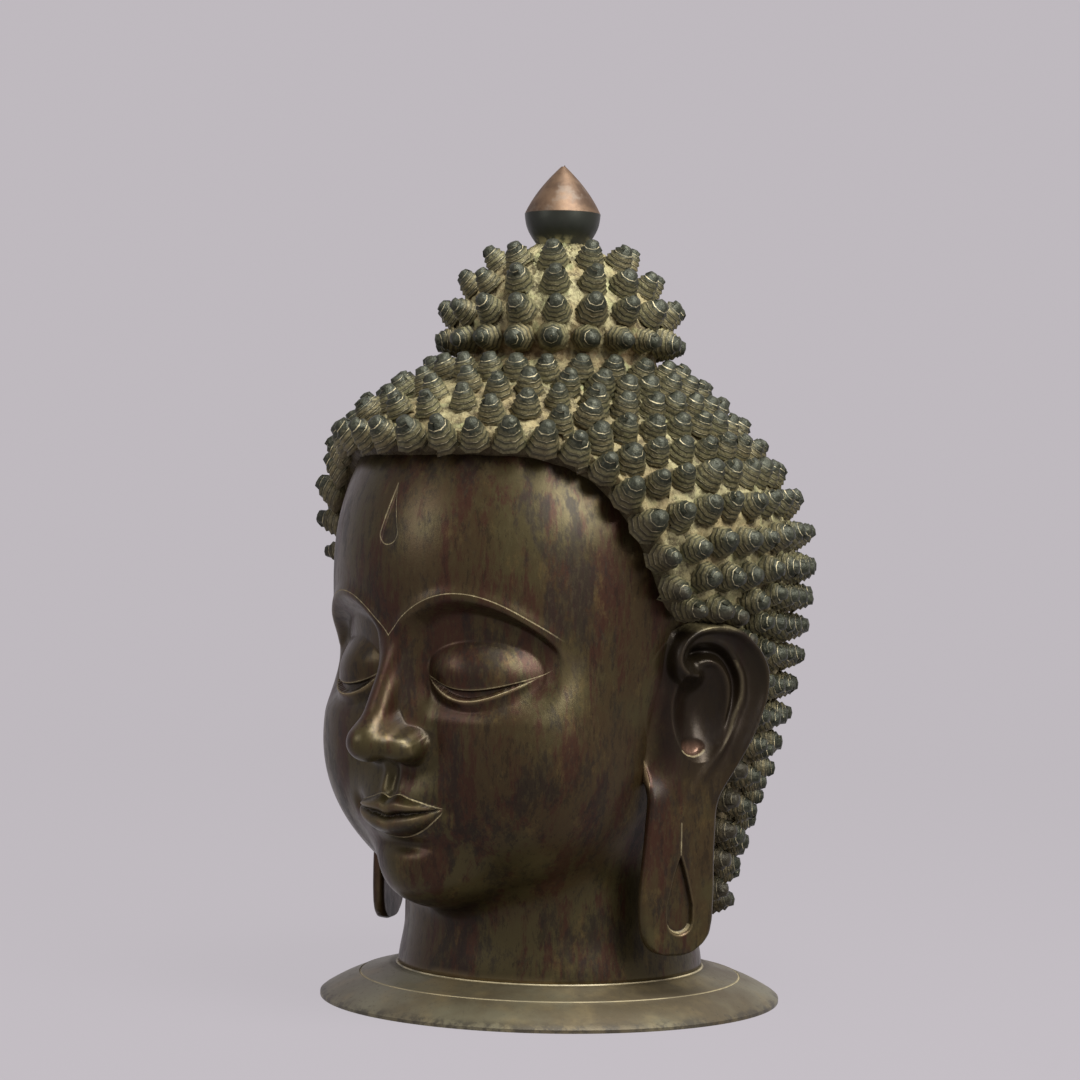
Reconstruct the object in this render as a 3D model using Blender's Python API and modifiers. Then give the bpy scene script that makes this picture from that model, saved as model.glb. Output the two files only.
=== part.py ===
"""A cast brass head on a round foot plate, with rows of snail-shell curls and a bud finial.

Metres, +Z up. The origin is the centre of the foot plate's underside, and the face looks
along -Y. The head is one casting: its skin is a smooth form cut by level rays from the
upright axis, its hair is one cell to each curl, and the two are joined with the ears.
"""

import bmesh
import bpy
import numpy as np

# Driving sizes
TOTAL_HEIGHT = 0.900
GAP = 0.0003

PLATE_RADIUS = 0.2475
PLATE_RIM_HEIGHT = 0.0040
PLATE_RING_RADIUS = 0.2050
PLATE_RING_HEIGHT = 0.0244
PLATE_SEAT_RADIUS = 0.1720
PLATE_SEAT_HEIGHT = 0.0350

NECK_RADIUS = 0.1575
NECK_FLARE = 0.0065

SKULL_CENTRE = (0, 0, 0.465)
SKULL_RADII = (0.211, 0.268, 0.245)
HEART = np.array((0, 0, 0.440))

TOP_KNOT_HEIGHT = 0.8117
TOP_KNOT_SEAT_RADIUS = 0.0290
SHOULDER_HEIGHT = 0.662
GLOBE_REACH = np.radians(155)

CURL_SPACING = 0.0350
CURL_HEIGHT = 0.0265
CURL_TIP_RADIUS = 0.0085
CURL_TIP_SIDES = 3
CURL_EDGE_RISE = 0.0130
CURL_UPWARD_LEAN = 0.22

FINIAL_FOOT_RADIUS = 0.0270
FINIAL_EDGE_RADIUS = 0.0412
FINIAL_EDGE_HEIGHT = 0.8460

# The face is divided in equal thirds: hairline to brow, brow to nose, nose to chin
EYE_X = 0.084
EYE_Z = 0.352
EYE_HALF_WIDTH = 0.048
BROW_PEAK_X = 0.078
BROW_PEAK_Z = 0.432
MOUTH_Z = 0.212
MOUTH_HALF_WIDTH = 0.056

SKIN_TRIANGLES = 1400
EAR_TRIANGLES = 330


# Smooth forms, as distances that are negative inside
def ellipsoid(p, centre, radii):
    """Distance to an ellipsoid, near enough for blending."""
    q = (p - np.array(centre)) / np.array(radii)
    near = np.linalg.norm(q, axis=-1)
    return near * (near - 1) / np.maximum(np.linalg.norm(q / np.array(radii), axis=-1), 1e-9)


def taper(p, start, end, start_radius, end_radius):
    """Distance to a round bar that widens from start to end."""
    start = np.array(start)
    run = np.array(end) - start
    along = np.clip(((p - start) @ run) / (run @ run), 0, 1)
    gap = np.linalg.norm(p - start - along[..., None] * run, axis=-1)
    return gap - start_radius - (end_radius - start_radius) * along


def blend(a, b, reach):
    """Union of two forms with a fillet between them."""
    h = np.clip(0.5 + 0.5 * (b - a) / reach, 0, 1)
    return b + (a - b) * h - reach * h * (1 - h)


def step(value, low, high):
    """Smooth rise from 0 at low to 1 at high."""
    t = np.clip((value - low) / (high - low), 0, 1)
    return t * t * (3 - 2 * t)


def hill(value, centre, width):
    """Bell-shaped rise to 1 at the centre."""
    return np.exp(-((value - centre) / width) ** 2)


def curve_through(stations, value, column):
    """Smooth curve through stations of (position, size, ...), read at any position."""
    table = np.array(stations)
    at, size = table[:, 0], table[:, column]
    slope = np.gradient(size, at)
    i = np.clip(np.searchsorted(at, value) - 1, 0, len(at) - 2)
    span = at[i + 1] - at[i]
    t = np.clip((value - at[i]) / span, 0, 1)
    start = (1 + 2 * t) * (1 - t) ** 2 * size[i] + t * (1 - t) ** 2 * span * slope[i]
    end = t * t * (3 - 2 * t) * size[i + 1] + t * t * (t - 1) * span * slope[i + 1]
    return start + end


# The face, head and neck
def brow_height(side):
    return BROW_PEAK_Z - 7.2 * (side - BROW_PEAK_X) ** 2


def lid_heights(side):
    """Edge of the upper lid and of the lower lid of a lowered eye."""
    opening = np.clip(1 - ((side - EYE_X) / EYE_HALF_WIDTH) ** 2, 0, None)
    return EYE_Z - 0.0125 * opening, EYE_Z - 0.0215 * opening


def lip_heights(side):
    """Line between the lips, top of the upper lip and bottom of the lower lip."""
    q = np.clip(side / MOUTH_HALF_WIDTH, 0, 1)
    line = MOUTH_Z + 0.007 * q ** 2 - 0.0025 * hill(side, 0, 0.009)
    bow = 0.0025 * hill(side, 0.013, 0.009) - 0.002 * hill(side, 0, 0.006)
    top = MOUTH_Z + 0.0180 - 0.0110 * q ** 2 + bow
    bottom = MOUTH_Z - 0.0250 * np.clip(1 - q ** 2, 0, 1) ** 0.6 + 0.007 * q ** 2
    return line, top, bottom


def face_relief(x, z):
    """How far the carving stands out of the smooth face, seen from the front."""
    side = np.abs(x)
    brow = brow_height(side)
    below_brow = step(brow - z, -0.001, 0.020) * step(z, 0.305, 0.350)
    across = step(side, 0.012, 0.036) * (1 - step(side, 0.125, 0.168))
    out = -0.0155 * below_brow * across
    out += 0.0025 * hill(z, brow + 0.003, 0.008) * step(side, 0, 0.02) * (1 - step(side, 0.13, 0.16))
    ball = ((side - EYE_X) / 0.056) ** 2 + ((z - EYE_Z - 0.002) / 0.036) ** 2
    out += 0.0165 * np.clip(1 - ball, 0, 1) ** 0.75
    upper, lower = lid_heights(side)
    inside = step(EYE_HALF_WIDTH * 1.04 - np.abs(side - EYE_X), 0, 0.008)
    out -= 0.0042 * inside * step(upper - z, -0.0008, 0.0012) * step(z - lower, -0.001, 0.002)
    out += 0.0022 * inside * hill(z, lower - 0.003, 0.004)
    line, top, bottom = lip_heights(side)
    ends = np.sqrt(np.clip(1 - (side / MOUTH_HALF_WIDTH) ** 2, 0, 1))
    rise = np.clip((z - line) / np.maximum(top - line, 1e-4), 0, 1)
    fall = np.clip((line - z) / np.maximum(line - bottom, 1e-4), 0, 1)
    out += 0.0095 * ends * np.clip(np.sin(np.pi * rise ** 0.8), 0, 1) ** 0.8 * (z > line)
    out += 0.0115 * ends * np.clip(np.sin(np.pi * fall ** 0.9), 0, 1) ** 0.8 * (z <= line)
    out -= 0.005 * hill(side, MOUTH_HALF_WIDTH + 0.003, 0.010) * hill(z, MOUTH_Z + 0.006, 0.011)
    groove = step(z, 0.228, 0.236) * (1 - step(z, 0.258, 0.266))
    out += groove * (0.0012 * hill(side, 0.0115, 0.005) - 0.0028 * hill(x, 0, 0.0055))
    out -= 0.0075 * hill(z, 0.180, 0.010) * hill(x, 0, 0.042)
    return out


def skin_distance(p):
    """The bare head and neck: skull, cheeks, jaw, chin and nose flowing into each other."""
    x, y, z = p[..., 0], p[..., 1], p[..., 2]
    half = np.stack([np.abs(x), y, z], axis=-1)
    form = blend(ellipsoid(p, SKULL_CENTRE, SKULL_RADII),
                 ellipsoid(p, (0, -0.075, 0.330), (0.180, 0.170, 0.215)), 0.050)
    form = blend(form, ellipsoid(p, (0, -0.068, 0.228), (0.162, 0.158, 0.130)), 0.050)
    form = blend(form, ellipsoid(half, (0.080, -0.148, 0.278), (0.088, 0.080, 0.100)), 0.045)
    form = blend(form, ellipsoid(p, (0, -0.200, 0.218), (0.070, 0.056, 0.046)), 0.030)
    form = blend(form, ellipsoid(p, (0, -0.186, 0.154), (0.056, 0.054, 0.042)), 0.034)
    neck_radius = NECK_RADIUS + NECK_FLARE * (1 - step(z, 0.035, 0.085))
    form = blend(form, np.maximum(np.hypot(x, y) - neck_radius, z - 0.40), 0.020)
    form = form - step(-y, 0.05, 0.12) * face_relief(x, z)
    form = blend(form, taper(p, (0, -0.222, 0.392), (0, -0.238, 0.296), 0.0130, 0.0300), 0.022)
    bridge = taper(p, (0, -0.243, 0.398), (0, -0.287, 0.290), 0.0095, 0.0150)
    tip = ellipsoid(p, (0, -0.291, 0.2840), (0.0205, 0.0225, 0.0175))
    wing = ellipsoid(half, (0.0265, -0.264, 0.2800), (0.0170, 0.0240, 0.0150))
    form = blend(form, blend(blend(bridge, tip, 0.014), wing, 0.009), 0.014)
    nostril = ellipsoid(half, (0.0135, -0.279, 0.2640), (0.0070, 0.0105, 0.0060))
    return -blend(-form, nostril, 0.004)


def level_rays(distance, azimuth, height):
    """Where level rays from the axis leave a form: a radius for each azimuth and height."""
    out = np.stack([np.sin(azimuth), -np.cos(azimuth), np.zeros_like(azimuth)], axis=-1)
    axis = np.stack([np.zeros_like(height), np.zeros_like(height), height], axis=-1)
    radius = np.full(azimuth.shape, 0.42)
    for _ in range(60):
        radius = radius - 0.75 * distance(axis + out * radius[..., None])
    return radius


def ring_solid(rings):
    """Closed mesh through a stack of equal rings, with flat ends."""
    bm = bmesh.new()
    stack = [[bm.verts.new(point) for point in ring] for ring in rings]
    for below, above in zip(stack, stack[1:]):
        for i in range(len(below)):
            j = (i + 1) % len(below)
            bm.faces.new((below[i], below[j], above[j], above[i]))
    bm.faces.new(reversed(stack[0]))
    bm.faces.new(stack[-1])
    return bm


def head_skin():
    """The bare head as a solid, from the neck's foot to a flat cut hidden in the hair."""
    columns = 128
    u = np.linspace(-1, 1, columns, endpoint=False)
    azimuth = np.pi * (0.50 * u + 0.50 * u ** 3)
    height = np.concatenate([
        np.linspace(PLATE_SEAT_HEIGHT + GAP, 0.100, 7, endpoint=False),
        np.linspace(0.100, 0.440, 130, endpoint=False),
        np.linspace(0.440, 0.620, 15),
    ])
    grid_azimuth, grid_height = np.meshgrid(azimuth, height)
    radius = level_rays(skin_distance, grid_azimuth, grid_height)
    rings = np.stack([radius * np.sin(grid_azimuth), -radius * np.cos(grid_azimuth), grid_height], axis=-1)
    return ring_solid(rings.tolist())


# The ears, on a plane turned out from the cheek: t runs back along it, z up, h stands off it
EAR_BASE = np.array((0.209, -0.042))
EAR_TURN = np.radians(24.9)
EAR_BOTTOM = 0.0675
EAR_TOP = 0.4115
EAR_JOINED_FROM = 0.262
EAR_THICKNESS = 0.013
EAR_EDGE = 0.007
# Height, front edge and rear edge of the ear's outline
EAR_OUTLINE = (
    (0.0675, -0.014, 0.004),
    (0.0740, -0.032, 0.024),
    (0.0900, -0.041, 0.036),
    (0.1200, -0.044, 0.040),
    (0.1900, -0.039, 0.041),
    (0.2300, -0.034, 0.045),
    (0.2620, -0.030, 0.062),
    (0.2850, -0.040, 0.074),
    (0.3100, -0.055, 0.086),
    (0.3450, -0.055, 0.096),
    (0.3650, -0.050, 0.096),
    (0.3900, -0.030, 0.079),
    (0.4060, -0.004, 0.054),
    (0.4115, 0.012, 0.034),
)
# Middle of the rolled rim, from its curled-in front end round the top and down behind
HELIX = (
    (0.014, 0.352), (-0.003, 0.358), (-0.008, 0.375), (0.006, 0.392), (0.033, 0.398),
    (0.061, 0.388), (0.079, 0.364), (0.080, 0.333), (0.069, 0.297), (0.053, 0.258), (0.040, 0.215),
)
ANTIHELIX = (
    (0.006, 0.366), (0.026, 0.369), (0.044, 0.358), (0.053, 0.335), (0.050, 0.307), (0.039, 0.278),
    (0.022, 0.250), (0.006, 0.220),
)


def path_distance(t, z, path):
    """Distance from each point to a chain of straight runs."""
    best = np.full(t.shape, 1.0)
    for (t0, z0), (t1, z1) in zip(path, path[1:]):
        run = np.array((t1 - t0, z1 - z0))
        along = np.clip(((t - t0) * run[0] + (z - z0) * run[1]) / (run @ run), 0, 1)
        best = np.minimum(best, np.hypot(t - t0 - along * run[0], z - z0 - along * run[1]))
    return best


def roll(gap, half_width):
    """Half-round section of a raised rim."""
    return np.sqrt(np.clip(1 - (gap / half_width) ** 2, 0, 1))


def ear_front(t, z):
    """Height of the carved side of the ear."""
    joined = step(z, EAR_JOINED_FROM - 0.020, EAR_JOINED_FROM + 0.020)
    height = -0.030 * joined * (1 - step(t, -0.048, -0.002))
    hollow = ((t - 0.026 - 0.10 * (z - 0.315)) / 0.023) ** 2 + ((z - 0.313) / 0.052) ** 2
    height = height - 0.019 * np.clip(1.25 * (1 - hollow), 0, 1) ** 0.6
    height = height + 0.0110 * roll(path_distance(t, z, ANTIHELIX), 0.010) * step(z, 0.215, 0.290)
    height = height + 0.0135 * roll(path_distance(t, z, HELIX), 0.0145) * step(z, 0.215, 0.300)
    drop_half = 0.0155 * np.clip((0.171 - z) / 0.050, 0, 1) ** 0.75
    drop_end = 0.089 + 0.0155
    reach = np.where(z > drop_end, np.abs(t) - drop_half, np.hypot(t, z - drop_end) - 0.0155)
    return height - 0.0065 * step(-reach, 0.0, 0.0035)


def ear_solid(side):
    """One ear with its long lobe: a carved front, a plain back and a rounded edge."""
    rows, columns = 60, 26
    height = EAR_BOTTOM + (EAR_TOP - EAR_BOTTOM) * (1 - np.cos(np.linspace(0, np.pi, rows))) / 2
    across = (1 - np.cos(np.linspace(0, np.pi, columns))) / 2
    z, u = np.meshgrid(height, across, indexing="ij")
    front_edge = curve_through(EAR_OUTLINE, z, 1)
    rear_edge = curve_through(EAR_OUTLINE, z, 2)
    t = front_edge + (rear_edge - front_edge) * u
    joined = step(z, EAR_JOINED_FROM - 0.020, EAR_JOINED_FROM + 0.020)
    from_front = (t - front_edge) + joined
    edge = np.minimum.reduce([from_front, rear_edge - t, 1.5 * (z - EAR_BOTTOM), 1.5 * (EAR_TOP - z)])
    fullness = np.sqrt(np.clip(1 - (1 - np.clip(edge / EAR_EDGE, 0, 1)) ** 2, 0, 1))
    middle = -EAR_THICKNESS / 2
    front = middle + (ear_front(t, z) - middle) * fullness
    root = joined * (1 - step(t, -0.010, 0.070)) * 0.034
    back = middle - root - (EAR_THICKNESS / 2) * fullness
    back = np.minimum(back, front - 0.002)
    rings = []
    for i in range(rows):
        run = [(t[i, j], front[i, j]) for j in range(columns)]
        run += [(t[i, j], back[i, j]) for j in reversed(range(columns))]
        ring = []
        for along, off in run:
            x = EAR_BASE[0] + along * np.sin(EAR_TURN) + off * np.cos(EAR_TURN)
            y = EAR_BASE[1] + along * np.cos(EAR_TURN) - off * np.sin(EAR_TURN)
            ring.append((side * x, y, height[i]))
        rings.append(ring)
    bm = ring_solid(rings)
    bmesh.ops.recalc_face_normals(bm, faces=bm.faces)
    return bm


# The hair: height, half width, reach to the front and reach to the back of its ground
HAIR_SECTIONS = (
    (0.085, 0.160, 0.160, 0.186),
    (0.145, 0.172, 0.180, 0.197),
    (0.210, 0.186, 0.220, 0.226),
    (0.290, 0.205, 0.250, 0.260),
    (0.370, 0.217, 0.262, 0.288),
    (0.405, 0.221, 0.268, 0.294),
    (0.440, 0.231, 0.272, 0.292),
    (0.500, 0.244, 0.276, 0.272),
    (0.540, 0.236, 0.273, 0.246),
    (0.580, 0.206, 0.262, 0.219),
    (0.620, 0.166, 0.228, 0.184),
    (0.650, 0.134, 0.174, 0.151),
    (0.675, 0.108, 0.124, 0.118),
    (0.688, 0.101, 0.104, 0.104),
    (0.700, 0.109, 0.109, 0.109),
    (0.720, 0.114, 0.114, 0.114),
    (0.745, 0.103, 0.103, 0.103),
    (0.770, 0.084, 0.084, 0.084),
    (0.790, 0.063, 0.063, 0.063),
    (0.804, 0.042, 0.042, 0.042),
    (0.8117, 0.029, 0.029, 0.029),
)
# Azimuth from the front in degrees, and height of the hair's lower edge
HAIRLINE = (
    (0, 0.576), (20, 0.576), (38, 0.569), (50, 0.548), (58, 0.516), (65, 0.472), (70, 0.434),
    (76, 0.414), (84, 0.414), (93, 0.404), (101, 0.355), (105, 0.290), (108, 0.200), (113, 0.130),
    (124, 0.100), (150, 0.092), (180, 0.090),
)
# Number of curls in each row of the top-knot, and the row's height
TOP_KNOT_ROWS = ((20, 0.7060), (19, 0.7305), (15, 0.7600), (11, 0.7860))


def hair_radius(azimuth, height):
    """Radius of the hair's ground: an egg, longer to the front or the back than to the sides."""
    width = curve_through(HAIR_SECTIONS, height, 1)
    depth = np.where(np.cos(azimuth) > 0, curve_through(HAIR_SECTIONS, height, 2),
                     curve_through(HAIR_SECTIONS, height, 3))
    return 1 / np.sqrt((np.sin(azimuth) / width) ** 2 + (np.cos(azimuth) / depth) ** 2)


def hair_point(azimuth, height):
    radius = hair_radius(azimuth, height)
    return np.stack([radius * np.sin(azimuth), -radius * np.cos(azimuth), height], axis=-1)


def hairline_height(azimuth):
    degrees = np.degrees(np.abs((azimuth + np.pi) % (2 * np.pi) - np.pi))
    return curve_through(HAIRLINE, degrees, 1)


def hair_normal(azimuth, height):
    """Outward direction of the hair's ground."""
    small = 0.002
    across = hair_point(azimuth + small, height) - hair_point(azimuth - small, height)
    up = hair_point(azimuth, height + small) - hair_point(azimuth, height - small)
    normal = np.cross(across, up)
    return normal / np.linalg.norm(normal, axis=-1, keepdims=True)


def even_steps(points, spacing):
    """Length along a chain of points, and how many steps of about the spacing it holds."""
    run = np.concatenate([[0], np.cumsum(np.linalg.norm(np.diff(points, axis=0), axis=1))])
    return run, max(2, int(round(run[-1] / spacing)))


def curl_places():
    """Azimuth and height of every curl: a row on the hairline, rows on the top-knot, the rest even."""
    turn = np.linspace(-np.pi, np.pi, 1441)
    edge = hair_point(turn, hairline_height(turn) + CURL_EDGE_RISE)
    run, count = even_steps(edge, CURL_SPACING)
    first = np.interp(np.arange(count) / count * run[-1], run, turn)
    fixed = [(azimuth, hairline_height(azimuth) + CURL_EDGE_RISE) for azimuth in first]
    for row, (number, height) in enumerate(TOP_KNOT_ROWS):
        for i in range(number):
            fixed.append(((i + 0.5 * (row % 2)) / number * 2 * np.pi - np.pi, height))
    fixed = np.array(fixed)
    fixed_points = hair_point(fixed[:, 0], fixed[:, 1])

    loose = []
    profile = np.linspace(0.100, SHOULDER_HEIGHT, 600)
    side_line = hair_point(np.full(600, 2.2), profile)
    run, count = even_steps(side_line, CURL_SPACING * 0.87)
    for row, height in enumerate(np.interp(np.arange(count + 1) / count * run[-1], run, profile)):
        ring = hair_point(turn, np.full(turn.shape, height))
        ring_run, number = even_steps(ring, CURL_SPACING)
        at = (np.arange(number) + 0.5 * (row % 2)) / number * ring_run[-1]
        for azimuth in np.interp(at, ring_run, turn):
            place = hair_point(azimuth, height)
            clear = np.min(np.linalg.norm(fixed_points - place, axis=1))
            if height > hairline_height(azimuth) + CURL_EDGE_RISE and clear > CURL_SPACING * 0.62:
                loose.append((azimuth, height))
    loose = np.array(loose)

    for _ in range(60):
        moving = hair_point(loose[:, 0], loose[:, 1])
        others = np.concatenate([moving, fixed_points])
        apart = moving[:, None, :] - others[None, :, :]
        gap = np.linalg.norm(apart, axis=-1)
        gap[np.arange(len(moving)), np.arange(len(moving))] = 1
        push = np.clip(1.25 * CURL_SPACING - gap, 0, None) / gap
        moved = moving + 0.16 * np.einsum("ij,ijk->ik", push, apart)
        azimuth = np.arctan2(moved[:, 0], -moved[:, 1])
        height = np.clip(moved[:, 2], hairline_height(azimuth) + CURL_EDGE_RISE, SHOULDER_HEIGHT)
        loose = np.stack([azimuth, height], axis=-1)
    return fixed, loose


def globe_point(azimuth, height):
    """The hair unrolled on a globe: as far from its pole as the place is from the hair's top."""
    heights = np.array(HAIR_SECTIONS)[::-1, 0]
    widths = np.array(HAIR_SECTIONS)[::-1, 1]
    run = widths[0] + np.concatenate([[0], np.cumsum(np.hypot(np.diff(heights), np.diff(widths)))])
    polar = np.interp(-height, -heights, run) / run[-1] * GLOBE_REACH
    return np.stack([np.sin(polar) * np.sin(azimuth), -np.sin(polar) * np.cos(azimuth), np.cos(polar)], axis=-1)


def sorted_round(centre, axis, verts):
    """Corners in turn round an axis, with the angle of each."""
    guide = np.cross(axis, (0.3, 0.2, 0.9))
    guide = guide / np.linalg.norm(guide)
    other = np.cross(axis, guide)
    turns = []
    for vert in verts:
        arm = np.array(vert.co) - centre
        turns.append(np.arctan2(arm @ other, arm @ guide) % (2 * np.pi))
    order = np.argsort(turns)
    return [verts[i] for i in order], [turns[i] for i in order], guide, other


def blunt_cone(bm, centre, axis, verts):
    """A curl: sides from its cell's corners up to a small square tip."""
    cell, turns, guide, other = sorted_round(centre, axis, verts)
    tip_turns = [2 * np.pi * (i + 0.5) / CURL_TIP_SIDES for i in range(CURL_TIP_SIDES)]
    tip = [bm.verts.new(centre + axis * CURL_HEIGHT
                        + CURL_TIP_RADIUS * (np.cos(turn) * guide + np.sin(turn) * other))
           for turn in tip_turns]
    i = j = 0
    while i < len(cell) or j < len(tip):
        next_low = turns[i + 1] if i + 1 < len(cell) else 2 * np.pi + turns[0]
        next_high = tip_turns[j + 1] if j + 1 < len(tip) else 2 * np.pi + tip_turns[0]
        low, high = cell[i % len(cell)], tip[j % len(tip)]
        if j == len(tip) or (i < len(cell) and next_low <= next_high):
            bm.faces.new((low, cell[(i + 1) % len(cell)], high))
            i += 1
        else:
            bm.faces.new((low, tip[(j + 1) % len(tip)], high))
            j += 1
    bm.faces.new(tip)


def hair_solid():
    """The mass of curls as one closed form: each curl is a blunt cone on its own cell."""
    fixed, loose = curl_places()
    curls = np.concatenate([fixed, loose])
    turn = np.linspace(-np.pi, np.pi, 1441)
    below = hair_point(turn, hairline_height(turn) - CURL_EDGE_RISE)
    run, number = even_steps(below, CURL_SPACING * 0.95)
    border = np.interp((np.arange(number) + 0.5) / number * run[-1], run, turn)
    placed = np.concatenate([curls, np.stack([border, hairline_height(border) - CURL_EDGE_RISE], axis=-1)])
    pole = len(placed)
    points = np.concatenate([hair_point(placed[:, 0], placed[:, 1]), [(0, 0, TOP_KNOT_HEIGHT)]])

    # Neighbours are the edges of a tight skin over the curls' places on the globe
    net = bmesh.new()
    for place in np.concatenate([globe_point(placed[:, 0], placed[:, 1]), [(0, 0, 1)], [(0, 0, -1)]]):
        net.verts.new(place)
    bmesh.ops.convex_hull(net, input=net.verts, use_existing_faces=False)
    net.verts.index_update()
    bm = bmesh.new()
    around = {}
    for face in net.faces:
        ids = [vert.index for vert in face.verts]
        if max(ids) > pole:
            continue
        middle = points[ids].mean(axis=0)
        if pole in ids:
            arm = np.array((middle[0], middle[1], 0))
            spot = arm / np.linalg.norm(arm) * (TOP_KNOT_SEAT_RADIUS + 0.004)
            spot = spot + (0, 0, TOP_KNOT_HEIGHT - 0.004)
        else:
            spot = hair_point(np.arctan2(middle[0], -middle[1]), middle[2])
        vert = bm.verts.new(spot)
        for place in ids:
            around.setdefault(place, []).append(vert)

    lean = hair_normal(curls[:, 0], curls[:, 1]) + np.array((0, 0, CURL_UPWARD_LEAN))
    lean = lean / np.linalg.norm(lean, axis=1, keepdims=True)
    for place in range(len(curls)):
        blunt_cone(bm, points[place], lean[place], around[place])

    ring = sorted_round(points[pole], np.array((0, 0, 1.0)), around[pole])[0]
    rim = []
    for vert in ring:
        out = vert.co.xy.normalized() * TOP_KNOT_SEAT_RADIUS
        rim.append(bm.verts.new((out.x, out.y, TOP_KNOT_HEIGHT)))
    for i in range(len(ring)):
        j = (i + 1) % len(ring)
        bm.faces.new((ring[i], ring[j], rim[j], rim[i]))
    bm.faces.new(rim)
    loose_verts = [vert for vert in bm.verts if not vert.link_faces]
    bmesh.ops.delete(bm, geom=loose_verts, context="VERTS")
    heart = bm.verts.new(HEART)
    for edge in [edge for edge in bm.edges if len(edge.link_faces) == 1]:
        bm.faces.new((edge.verts[0], edge.verts[1], heart))
    bmesh.ops.recalc_face_normals(bm, faces=bm.faces)
    bmesh.ops.triangulate(bm, faces=bm.faces)
    return bm


# Objects, modifiers and materials
def metal(name, colour, roughness):
    """Patinated brass."""
    material = bpy.data.materials.new(name)
    material.use_nodes = True
    shader = material.node_tree.nodes["Principled BSDF"]
    shader.inputs["Base Color"].default_value = (*colour, 1)
    shader.inputs["Metallic"].default_value = 0.7
    shader.inputs["Roughness"].default_value = roughness
    material.diffuse_color = (*colour, 1)
    return material


def add_object(name, bm, collection, material=None):
    mesh = bpy.data.meshes.new(name)
    bm.to_mesh(mesh)
    bm.free()
    if material:
        mesh.materials.append(material)
    made = bpy.data.objects.new(name, mesh)
    collection.objects.link(made)
    return made


def thin_out(made, triangles, symmetric=False):
    """Keep the form with fewer faces, close together where it curves most."""
    made.data.calc_loop_triangles()
    modifier = made.modifiers.new("fewer faces", "DECIMATE")
    modifier.ratio = triangles / len(made.data.loop_triangles)
    modifier.use_collapse_triangulate = True
    modifier.use_symmetry = symmetric
    modifier.symmetry_axis = "X"
    bake(made)


def bake(made):
    """Replace an object's mesh with its evaluated mesh."""
    depsgraph = bpy.context.evaluated_depsgraph_get()
    mesh = bpy.data.meshes.new_from_object(made.evaluated_get(depsgraph))
    made.modifiers.clear()
    made.data = mesh


def join(made, other):
    """Boolean union with another solid, which is used up."""
    modifier = made.modifiers.new("union", "BOOLEAN")
    modifier.operation = "UNION"
    modifier.object = other
    bake(made)
    bpy.data.objects.remove(other)


def turned(name, profile, segments, collection, material):
    """Turned piece: a profile of (radius, height), top to bottom, swept round the axis."""
    bm = bmesh.new()
    verts = [bm.verts.new((radius, 0, height)) for radius, height in profile]
    for first, second in zip(verts, verts[1:]):
        bm.edges.new((first, second))
    made = add_object(name, bm, collection, material)
    screw = made.modifiers.new("turn", "SCREW")
    screw.steps = segments
    screw.render_steps = segments
    screw.use_merge_vertices = True
    screw.merge_threshold = 0.00005
    bake(made)
    return made


def add_head(collection):
    brass = metal("brown brass", (0.105, 0.062, 0.033), 0.40)
    head = add_object("head", head_skin(), collection, brass)
    thin_out(head, SKIN_TRIANGLES, symmetric=True)
    for side in (1, -1):
        ear = add_object("ear", ear_solid(side), collection, brass)
        thin_out(ear, EAR_TRIANGLES)
        join(head, ear)
    join(head, add_object("curls", hair_solid(), collection, brass))
    return head


def add_base_plate(collection):
    """Flared foot plate with a level seat for the neck and a raised step at its ring."""
    olive = metal("olive brass", (0.120, 0.095, 0.055), 0.45)
    profile = [
        (0, PLATE_SEAT_HEIGHT),
        (PLATE_SEAT_RADIUS, PLATE_SEAT_HEIGHT),
        (PLATE_RING_RADIUS, PLATE_RING_HEIGHT + 0.0012),
        (PLATE_RING_RADIUS + 0.002, PLATE_RING_HEIGHT - 0.0006),
        ((PLATE_RING_RADIUS + PLATE_RADIUS) / 2, (PLATE_RING_HEIGHT + PLATE_RIM_HEIGHT) / 2 + 0.0010),
        (PLATE_RADIUS, PLATE_RIM_HEIGHT),
        (PLATE_RADIUS, 0.0006),
        (PLATE_RADIUS - 0.0008, 0),
        (0, 0),
    ]
    return turned("base_plate", profile, 40, collection, olive)


def add_crown_finial(collection):
    """Bud finial: a cup-like foot, a crisp edge at its widest, and a cone drawn to a point."""
    copper = metal("burnished copper brass", (0.330, 0.180, 0.090), 0.35)
    foot = TOP_KNOT_HEIGHT + GAP
    profile = []
    for i in range(7):
        rise = i / 7
        height = TOTAL_HEIGHT - (TOTAL_HEIGHT - FINIAL_EDGE_HEIGHT) * rise
        profile.append((FINIAL_EDGE_RADIUS * (rise + 0.42 * rise * (1 - rise)), height))
    for i in range(5):
        fall = i / 4
        height = FINIAL_EDGE_HEIGHT + (foot - FINIAL_EDGE_HEIGHT) * fall
        swell = 0.0036 * np.sin(np.pi * fall)
        radius = FINIAL_EDGE_RADIUS + (FINIAL_FOOT_RADIUS - FINIAL_EDGE_RADIUS) * fall + swell
        profile.append((radius, height))
    profile.append((0, foot))
    return turned("crown_finial", profile, 16, collection, copper)


def build():
    for old in list(bpy.data.objects):
        bpy.data.objects.remove(old)
    collection = bpy.data.collections.new("brass head")
    bpy.context.scene.collection.children.link(collection)
    for made in (add_head(collection), add_base_plate(collection), add_crown_finial(collection)):
        made.data.shade_smooth()
        made.data.set_sharp_from_angle(angle=np.radians(35))


build()
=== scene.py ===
"""The look of a cast brass head: studio and camera, then each piece as it is put together.

Foot plate first, then the head's skin, its ears, the ground of its hair, the curls and the
finial. Metres, +Z up, the face looks along -Y.
"""

import math

import bmesh
import bpy
import numpy as np
from mathutils import Matrix, Vector, kdtree


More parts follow.
